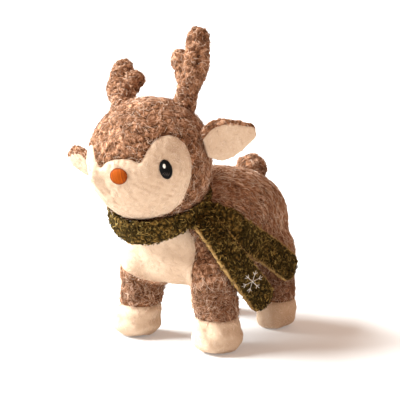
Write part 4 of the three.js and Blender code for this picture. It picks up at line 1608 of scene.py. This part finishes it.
@dataclass
class Ear:
    """A leaf ear: a brown back that turns over its upper edge, and a cream lining."""

    side: str
    rim_root: float = 6.0 * MM
    rim_tip: float = 2.0 * MM
    length: float = 36 * MM
    spread: float = 0.55
    tuck: float = 2.0 * MM
    bowl: float = 94 * MM
    wall: float = 0.6 * MM
    fill: float = 0.3
    rough: float = 0.6

    def build(self, cover: Cover, seed: int) -> None:
        """Makes both leaves and their fibres.

        Args:
            cover: The maker of cloth pieces.
            seed: The seed of its fibres.
        """
        body = f"{self.side}_ear"
        leaf = Bench.copied(body, [f"{body}_back", f"{body}_lining"])
        Bench.remeshed(leaf, 0.9 * MM, 6, 0.4 * MM)
        self.widen(leaf)
        smooth = Bench.skin(leaf)
        curly, curls = CURLY_NAP.pressed(leaf)
        soft, waves_up = SMOOTH_NAP.pressed(leaf)
        bpy.data.objects.remove(leaf)
        inside = self.lining_field(smooth.points)
        share = seam_share(inside)
        crease = gauss(inside, 0.9 * MM) * 0.4 * MM
        curly = smooth.points + (curly - smooth.points) * self.rough
        points = curly * (1 - share)[:, None] + soft * share[:, None]
        points -= smooth.normals() * crease[:, None]
        whole = Skin(points, smooth.faces, curls * (1 - share) + waves_up * share)
        lining, back = whole.split(inside)
        for leaf, skin, finish in (("back", back, BROWN_WOOL), ("lining", lining, CREAM_WOOL)):
            node = f"{body}_{leaf}"
            cover.cloth(f"{node}_cloth", skin, finish, body, [node], fill=self.fill, wall=self.wall)
        cover.fibres(f"{body}_back_fibres", back, EAR_PILE, BROWN_FIBRE, body, seed, ground=whole)
        cover.fibres(f"{body}_lining_fibres", lining, LINING_PILE, CREAM_FIBRE, body, seed + 1)

    def leaves(self) -> list[Skin]:
        """Returns the skins of the ear's two nodes, the back's first."""
        return [Bench.skin(frame["nodes"][f"{self.side}_ear_{layer}"]) for layer in ("back", "lining")]

    def axes(self) -> tuple[np.ndarray, np.ndarray, np.ndarray]:
        """Returns the ear's root, the direction along it and the direction up across it."""
        back, lining = self.leaves()
        root = np.array(pivot(f"{self.side}_ear_flap"))
        along = back.points.mean(axis=0) - root
        along /= np.linalg.norm(along)
        up = np.cross(lining.points.mean(axis=0) - back.points.mean(axis=0), along)
        return root, along, up * np.sign(up[2]) / np.linalg.norm(up)

    def widen(self, leaf: bpy.types.Object) -> None:
        """Spreads the ear's root over the head, as its seam does, and leaves its tip.

        Args:
            leaf: The ear, whose mesh is replaced.
        """
        root, along, up = self.axes()
        skin = Bench.skin(leaf)
        far, high = (skin.points - root) @ along, (skin.points - root) @ up
        share = np.clip(1 - far / (self.length * 0.75), 0, 1.2) ** 1.5
        wider = high * self.spread * share
        tucked = -((high + wider) ** 2 / self.bowl + self.tuck) * np.clip(share, 0, 1) ** 2
        moved = skin.points + np.outer(wider, up) + np.outer(tucked, along)
        Bench.refill(leaf, Skin(moved, skin.faces))

    def lining_field(self, points: np.ndarray) -> np.ndarray:
        """Returns a value that is positive on the lining.

        Args:
            points: Places on the ear's skin.

        Returns:
            The value for each place.
        """
        trees = [leaf.tree() for leaf in self.leaves()]
        apart = np.array([[tree.find_nearest(point)[3] for tree in trees] for point in points])
        front = apart[:, 0] - apart[:, 1]
        root, along, up = self.axes()
        far, high = (points - root) @ along, (points - root) @ up
        top = edge_line(far, high, 23, np.max)
        share = np.clip(far / self.length, 0, 1)
        rim = self.rim_root * (1 - share) + self.rim_tip * share
        return np.minimum(front, top - rim - high)


@dataclass
class Scarf:
    """The looped wool scarf with two free ends."""

    parts: tuple[tuple[str, str, tuple[float, float]], ...] = (
        ("scarf_wrap", "torso", (22 * MM, 250 * MM)),
        ("scarf_front_tail", "scarf_front", (25 * MM, 98 * MM)),
        ("scarf_rear_tail", "scarf_rear", (25 * MM, 88 * MM)),
    )
    edge_calm: float = 0.45

    def build(self, cover: Cover) -> None:
        """Makes the three parts of the scarf and their loops.

        Args:
            cover: The maker of cloth pieces.
        """
        for number, (node, body, flat) in enumerate(self.parts):
            piece = Bench.copied(node, [node])
            Bench.remeshed(piece, 1.1 * MM, 4)
            smooth = Bench.skin(piece)
            rough, loops = LOOPED_NAP.pressed(piece)
            bpy.data.objects.remove(piece)
            edge = np.zeros(len(loops)) if number == 0 else self.selvedge(smooth)
            flat_share = (edge * self.edge_calm)[:, None]
            points = rough * (1 - flat_share) + smooth.points * flat_share
            skin = Skin(points, smooth.faces, loops)
            cloth = Bench.new(f"{node}_cloth", skin)
            Bench.carry(cloth.data, "edge", edge)
            cover.settle(cloth, SCARF_WOOL, body)
            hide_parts(node)
            hairy = skin.kept(skin.faces[edge[skin.faces].max(axis=1) < 0.5])
            loop = cover.fibres(
                f"{node}_loops", hairy, LOOP_PILE, SCARF_FIBRE, body, 60 + number, ground=skin
            )

    @staticmethod
    def selvedge(skin: Skin) -> np.ndarray:
        """Returns how much each point belongs to the folded long edges of a strip.

        Args:
            skin: The strip's smooth skin.

        Returns:
            A share between 0 and 1 for each point.
        """
        flat = skin.points - skin.points.mean(axis=0)
        _, _, axes = np.linalg.svd(flat, full_matrices=False)
        far, wide = flat @ axes[0], flat @ axes[1]
        upper, lower = (edge_line(far, wide, 39, pick) for pick in (np.max, np.min))
        inward = np.minimum(upper - wide, wide - lower)
        ragged = waves(skin.points, (3.1 * MM, 1.9 * MM), 8) * 0.45 * MM
        return np.clip((1.35 * MM + ragged - inward) / (0.6 * MM), 0, 1)


@dataclass(frozen=True)
class Patch:
    """An oval of threads sewn side by side on the face. Lengths are in metres."""

    name: str
    nodes: tuple[str, ...]
    finish: ThreadFinish
    middle: tuple[float, float]
    half: tuple[float, float]
    lean: float
    pitch: float
    thread: float
    crown: float
    lift: float
    seed: int


@dataclass
class Embroidery:
    """Stitched eyes, nose and snow star."""

    head: Head
    steps: int = 8
    star_reach: float = 8.4 * MM
    star_wide: float = 1.3
    star_turn: float = math.radians(10)
    twig_turn: float = math.radians(42)

    def sew(self, patch: Patch, cover: Cover) -> None:
        """Sews one patch.

        Args:
            patch: The patch.
            cover: The maker of pieces.
        """
        middle, half, radius = patch.middle, patch.half, self.head.radius
        depth = math.sqrt(radius**2 - middle[0] ** 2 - middle[1] ** 2)
        out = Vector((middle[0], -depth, middle[1])).normalized()
        across = Vector((0, 0, 1)).cross(out).normalized()
        above = out.cross(across)
        wide = across * math.cos(patch.lean) + above * math.sin(patch.lean)
        tall = above * math.cos(patch.lean) - across * math.sin(patch.lean)
        turn = self.head.place()

        def bent(aside: float, down: float, level: float) -> Vector:
            """Returns a place of the flat patch, laid on the ball of the head at a level."""
            flat = out * radius * math.cos(math.hypot(aside, down) / radius)
            return turn @ ((flat + wide * aside + tall * down).normalized() * level)

        rng = np.random.default_rng(patch.seed)
        paths = []
        rows = int(half[1] * 2 / patch.pitch)
        for row in range(rows + 1):
            down = -half[1] + (row + 0.5) * half[1] * 2 / (rows + 1)
            reach = half[0] * math.sqrt(max(0.0, 1 - (down / half[1]) ** 2)) * rng.uniform(0.96, 1.04)
            path = []
            for step in range(self.steps + 1):
                aside = -reach + 2 * reach * step / self.steps
                share = min(1.0, (aside / half[0]) ** 2 + (down / half[1]) ** 2)
                path.append(bent(aside, down, radius + patch.lift + patch.crown * (1 - share)))
            paths.append(np.array(path))
        up = (turn.to_3x3() @ out).normalized()
        piece = Stitches(patch.thread).sew(patch.name, paths, up, patch.seed)
        self._pad(piece, patch, bent)
        cover.settle(piece, patch.finish, "head")
        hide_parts(*patch.nodes)

    def _pad(
        self, piece: bpy.types.Object, patch: Patch, bent: Callable[[float, float, float], Vector]
    ) -> None:
        """Joins a closed padded ground under the threads of a patch.

        Args:
            piece: The threads.
            patch: The patch.
            bent: Lays a place of the flat patch on the ball of the head at a level.
        """
        ground = Bench.added(
            bpy.ops.mesh.primitive_uv_sphere_add, segments=32, ring_count=16, radius=1.0
        )
        skin = Bench.skin(ground)
        bpy.data.objects.remove(ground)
        places = []
        for x, y, z in skin.points:
            aside, down = x * patch.half[0] * 0.97, y * patch.half[1] * 0.97
            rise = patch.crown * z if z > 0 else 1.2 * MM * z
            places.append(bent(aside, down, self.head.radius + patch.lift + rise - 0.05 * MM))
        uv = skin.points[skin.faces.ravel()][:, :2] * 0.02 + 0.975
        shape = (np.array(places), skin.faces.ravel(), np.full(len(skin.faces), 3))
        fresh = Bench.threaded(f"{piece.name}_ground", shape, uv, np.zeros(len(skin.points)))
        Bench.joined([piece, fresh])

    def build(self, cover: Cover) -> None:
        """Sews the eyes, their highlights, the nose and the star.

        Args:
            cover: The maker of pieces.
        """
        radius = self.head.radius
        for side, name in ((1, "left"), (-1, "right")):
            eye = (side * radius * self.head.eye[0], radius * self.head.eye[1])
            sunk = [depth for way, depth, _ in self.head.sockets if way == side][0]
            patch = Patch(
                name=f"{name}_eye_stitches",
                nodes=(f"{name}_eye",),
                finish=BLACK_THREAD,
                middle=eye,
                half=(4.6 * MM, 6.9 * MM),
                lean=side * math.radians(8),
                pitch=0.5 * MM,
                thread=0.3 * MM,
                crown=1.0 * MM,
                lift=0.2 * MM - sunk,
                seed=70,
            )
            self.sew(patch, cover)
            glint = Patch(
                name=f"{name}_glint_stitches",
                nodes=(f"{name}_eye_glint",),
                finish=WHITE_THREAD,
                middle=(eye[0] - 0.7 * MM, eye[1] + 2.6 * MM),
                half=(0.95 * MM, 1.5 * MM),
                lean=0.0,
                pitch=0.4 * MM,
                thread=0.24 * MM,
                crown=0.3 * MM,
                lift=1.4 * MM - sunk,
                seed=71,
            )
            self.sew(glint, cover)
            place = (eye[0] - 1.6 * MM, eye[1] - 2.0 * MM)
            # The grey sheen stitches are a painted reflection on the eye.
            self.painted_sheen_stitches(f"{name}_eye_sheen_stitches", place, 1.3 * MM - sunk, cover)
        nose = Patch(
            name="nose_stitches",
            nodes=("nose",),
            finish=ORANGE_THREAD,
            middle=(0.0, -radius * 0.1),
            half=(5.4 * MM, 6.5 * MM),
            lean=math.radians(90),
            pitch=0.42 * MM,
            thread=0.26 * MM,
            crown=0.9 * MM,
            lift=0.3 * MM,
            seed=72,
        )
        self.sew(nose, cover)
        self.rim("nose_rim_stitch", nose.middle, (6.7 * MM, 5.5 * MM), cover)
        self.snow_star(cover)

    def on_ball(self, aside: float, up: float, level: float) -> Vector:
        """Returns a place on the face.

        Args:
            aside: How far it is to the deer's left of the middle of the head.
            up: How far it is above the middle of the head.
            level: How far it stands over the ball.

        Returns:
            The place.
        """
        depth = math.sqrt(self.head.radius**2 - aside**2 - up**2)
        way = Vector((aside, -depth, up)).normalized()
        return self.head.place() @ (way * (self.head.radius + level))

    def painted_sheen_stitches(
        self, name: str, middle: tuple[float, float], level: float, cover: Cover
    ) -> None:
        """Sews four fine grey threads over an eye as a painted reflection: their grey stands in for
        light caught by the black stitches.

        Args:
            name: The piece's name.
            middle: The middle of the threads, from the middle of the head.
            level: How far they stand over the ball.
            cover: The maker of pieces.
        """
        paths = []
        for step in range(4):
            aside, up = middle[0] + step * 0.75 * MM, middle[1] - step * 0.55 * MM
            low = level - abs(step - 1.5) * 0.12 * MM
            ends = [(aside + x * MM, up + z * MM) for x, z in ((-0.9, -0.9), (0.2, 0.1), (0.7, 1.2))]
            paths.append(np.array([self.on_ball(x, z, low) for x, z in ends]))
        up = (self.on_ball(*middle, 0.0) - self.head.centre).normalized()
        piece = Stitches(0.11 * MM, 4).sew(name, paths, up, 76)
        cover.settle(piece, SHEEN_THREAD, "head")

    def rim(
        self, name: str, middle: tuple[float, float], half: tuple[float, float], cover: Cover
    ) -> None:
        """Sews one thread round an oval.

        Args:
            name: The piece's name.
            middle: The oval's middle, from the middle of the head.
            half: Half its width and half its height.
            cover: The maker of pieces.
        """
        places = []
        for step in range(41):
            angle = step / 40 * 2 * math.pi * 0.995
            aside, up = middle[0] + half[0] * math.cos(angle), middle[1] + half[1] * math.sin(angle)
            places.append(self.on_ball(aside, up, 0.25 * MM))
        up = (self.on_ball(*middle, 0.0) - self.head.centre).normalized()
        piece = Stitches(0.34 * MM, 6).sew(name, [np.array(places)], up, 77)
        cover.settle(piece, ORANGE_RIM, "head")

    def snow_star(self, cover: Cover) -> None:
        """Sews the six-armed star along the lines of its node.

        Args:
            cover: The maker of pieces.
        """
        node = frame["nodes"]["snowflake_embroidery"]
        points = Bench.skin(node).points
        middle = points.mean(axis=0)
        _, _, axes = np.linalg.svd(points - middle, full_matrices=False)
        out = axes[2] if axes[2][0] > 0 else -axes[2]
        right = np.array([0.809, 0.588, 0.0])
        first = right - out * (right @ out)
        first /= np.linalg.norm(first)
        second = np.cross(out, first)
        reach = self.star_reach
        paths = []
        for arm in range(6):
            angle = self.star_turn + arm * math.pi / 3
            way = first * math.cos(angle) * self.star_wide + second * math.sin(angle)
            steps = np.linspace(0.0, 1.0, 7)
            level = out * (0.6 * MM + arm * 0.02 * MM)
            paths.append(np.array([middle + way * s * reach + level for s in steps]))
            for side in (1, -1):
                fork = angle + side * self.twig_turn
                twig = first * math.cos(fork) * self.star_wide + second * math.sin(fork)
                root = middle + way * reach * 0.6
                lift = out * 0.55 * MM
                paths.append(np.array([root + twig * s * reach * 0.32 + lift for s in steps[::2]]))
        piece = Stitches(0.18 * MM, 6).sew("snow_star_stitches", paths, out, 75)
        cover.settle(piece, WHITE_THREAD, "scarf_front")
        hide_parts("snowflake_embroidery")


@dataclass
class Filling:
    """The fibre filling inside each stuffed part."""

    voxel: float = 3.0 * MM
    inset: float = 0.6 * MM
    head_inset: float = 4.2 * MM

    def build(self, cover: Cover, torso: Torso) -> None:
        """Makes a soft filling for each stuffing node.

        Args:
            cover: The maker of pieces.
            torso: The torso, whose legs give the joints that their fillings cross.
        """
        joints = {f"{leg.name}_leg_stuffing": leg.joint() for leg in torso.legs}
        for node, owner in (
            ("body_stuffing", "torso"),
            ("neck_stuffing", "neck"),
            ("head_stuffing", "head"),
            ("left_antler_stuffing", "left_antler"),
            ("right_antler_stuffing", "right_antler"),
            *((f"{leg.name}_leg_stuffing", f"{leg.name}_leg") for leg in torso.legs),
        ):
            piece = Bench.copied(f"{node}_fibre", [node])
            small = "antler" in node
            Bench.remeshed(piece, 1.5 * MM if small else self.voxel, 3)
            inset = self.head_inset if node == "head_stuffing" else self.inset
            Bench.modify(piece, "DISPLACE", strength=-inset, mid_level=0.0)
            faces = Bench.skin(piece).faces
            points, lift = FILL_NAP.pressed(piece)
            Bench.refill(piece, Skin(points, faces, lift))
            cover.settle(piece, FILLING, owner, joints.get(node))
            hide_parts(node)


@dataclass
class Studio:
    """The camera, the pale ground and the soft light."""

    eye: tuple[float, float, float] = (522.55, -698.25, 254.0)
    aim: tuple[float, float, float] = (1.15, 19.45, 102.4)
    lens: float = 104.4
    key_from: tuple[float, float, float] = (-0.72, -0.34, 0.605)
    key: float = 16.2
    key_angle: float = math.radians(46)
    key_tint: tuple[float, float, float] = (0.855, 0.955, 1.0)
    air: Colour = (1.0, 0.67, 0.47, 1.0)
    air_strength: float = 0.68
    floor_size: float = 40.0
    wall_radius: float = 14.0
    wall_height: float = 6.0

    def build(self, cover: Cover) -> None:
        """Makes the ground, the light and the camera.

        Args:
            cover: The maker of materials.
        """
        floor = Bench.added(bpy.ops.mesh.primitive_plane_add, size=self.floor_size)
        floor.name = "pale_floor"
        paper = FloorFinish("pale_paper", colour(208, 205, 203), 0.33)
        floor.data.materials.append(cover.material(paper))
        wall = Bench.added(
            bpy.ops.mesh.primitive_cylinder_add,
            vertices=96,
            radius=self.wall_radius,
            depth=self.wall_height,
            end_fill_type="NOTHING",
        )
        wall.name = "pale_wall"
        paper = FloorFinish("lit_paper", colour(253, 251, 249), 0.9)
        wall.data.materials.append(cover.material(paper))
        wall.visible_diffuse = wall.visible_glossy = False
        wall.visible_shadow = wall.visible_transmission = False
        self._light()
        self._camera()

    def _light(self) -> None:
        """Makes the soft sun and the warm air."""
        way = Vector(self.key_from)
        key = Bench.added(bpy.ops.object.light_add, type="SUN", location=way * 2)
        key.name = "key_light"
        key.data.energy = self.key
        key.data.angle = self.key_angle
        key.data.color = self.key_tint
        self._turned(key, -way)
        world = bpy.data.worlds.new("studio_air")
        world.use_nodes = True
        background = world.node_tree.nodes["Background"]
        background.inputs["Color"].default_value = self.air
        background.inputs["Strength"].default_value = self.air_strength
        bpy.context.scene.world = world
        bpy.context.scene.view_settings.view_transform = "Standard"

    def _camera(self) -> None:
        """Makes the camera at the photo's viewing angle."""
        lens = bpy.data.cameras.new("photo_camera")
        lens.lens = self.lens
        lens.sensor_width = 36.0
        lens.clip_start = 0.05
        lens.clip_end = 500
        camera = Bench.placed("photo_camera", lens)
        camera.location = Vector(self.eye) * MM
        self._turned(camera, (Vector(self.aim) - Vector(self.eye)).normalized())
        bpy.context.scene.camera = camera

    @staticmethod
    def _turned(thing: bpy.types.Object, way: Vector) -> None:
        """Turns a light or a camera so that it looks along a direction."""
        thing.rotation_mode = "QUATERNION"
        thing.rotation_quaternion = way.to_track_quat("-Z", "Y")


def main() -> None:
    """Builds every part of the deer in order."""
    logging.basicConfig(level=logging.INFO, format="%(message)s")
    cover = Cover()
    head = Head()
    torso = Torso()
    torso.build(cover)
    head.build(cover)
    Limb("left_antler", ("left_antler", "left_antler_stuffing")).build(cover, 51)
    Limb("right_antler", ("right_antler", "right_antler_stuffing")).build(cover, 52)
    Limb("tail", ("tail",), count=1600).build(cover, 53)
    Ear("left").build(cover, 54)
    Ear("right").build(cover, 57)
    Scarf().build(cover)
    Embroidery(head).build(cover)
    Filling().build(cover, torso)
    Studio().build(cover)
    total = sum(len(piece.data.loop_triangles) for piece in map(bpy.data.objects.get, cover.made))
    LOG.info("%d pieces made, %d triangles", len(cover.made), total)


if __name__ == "__main__":
    main()
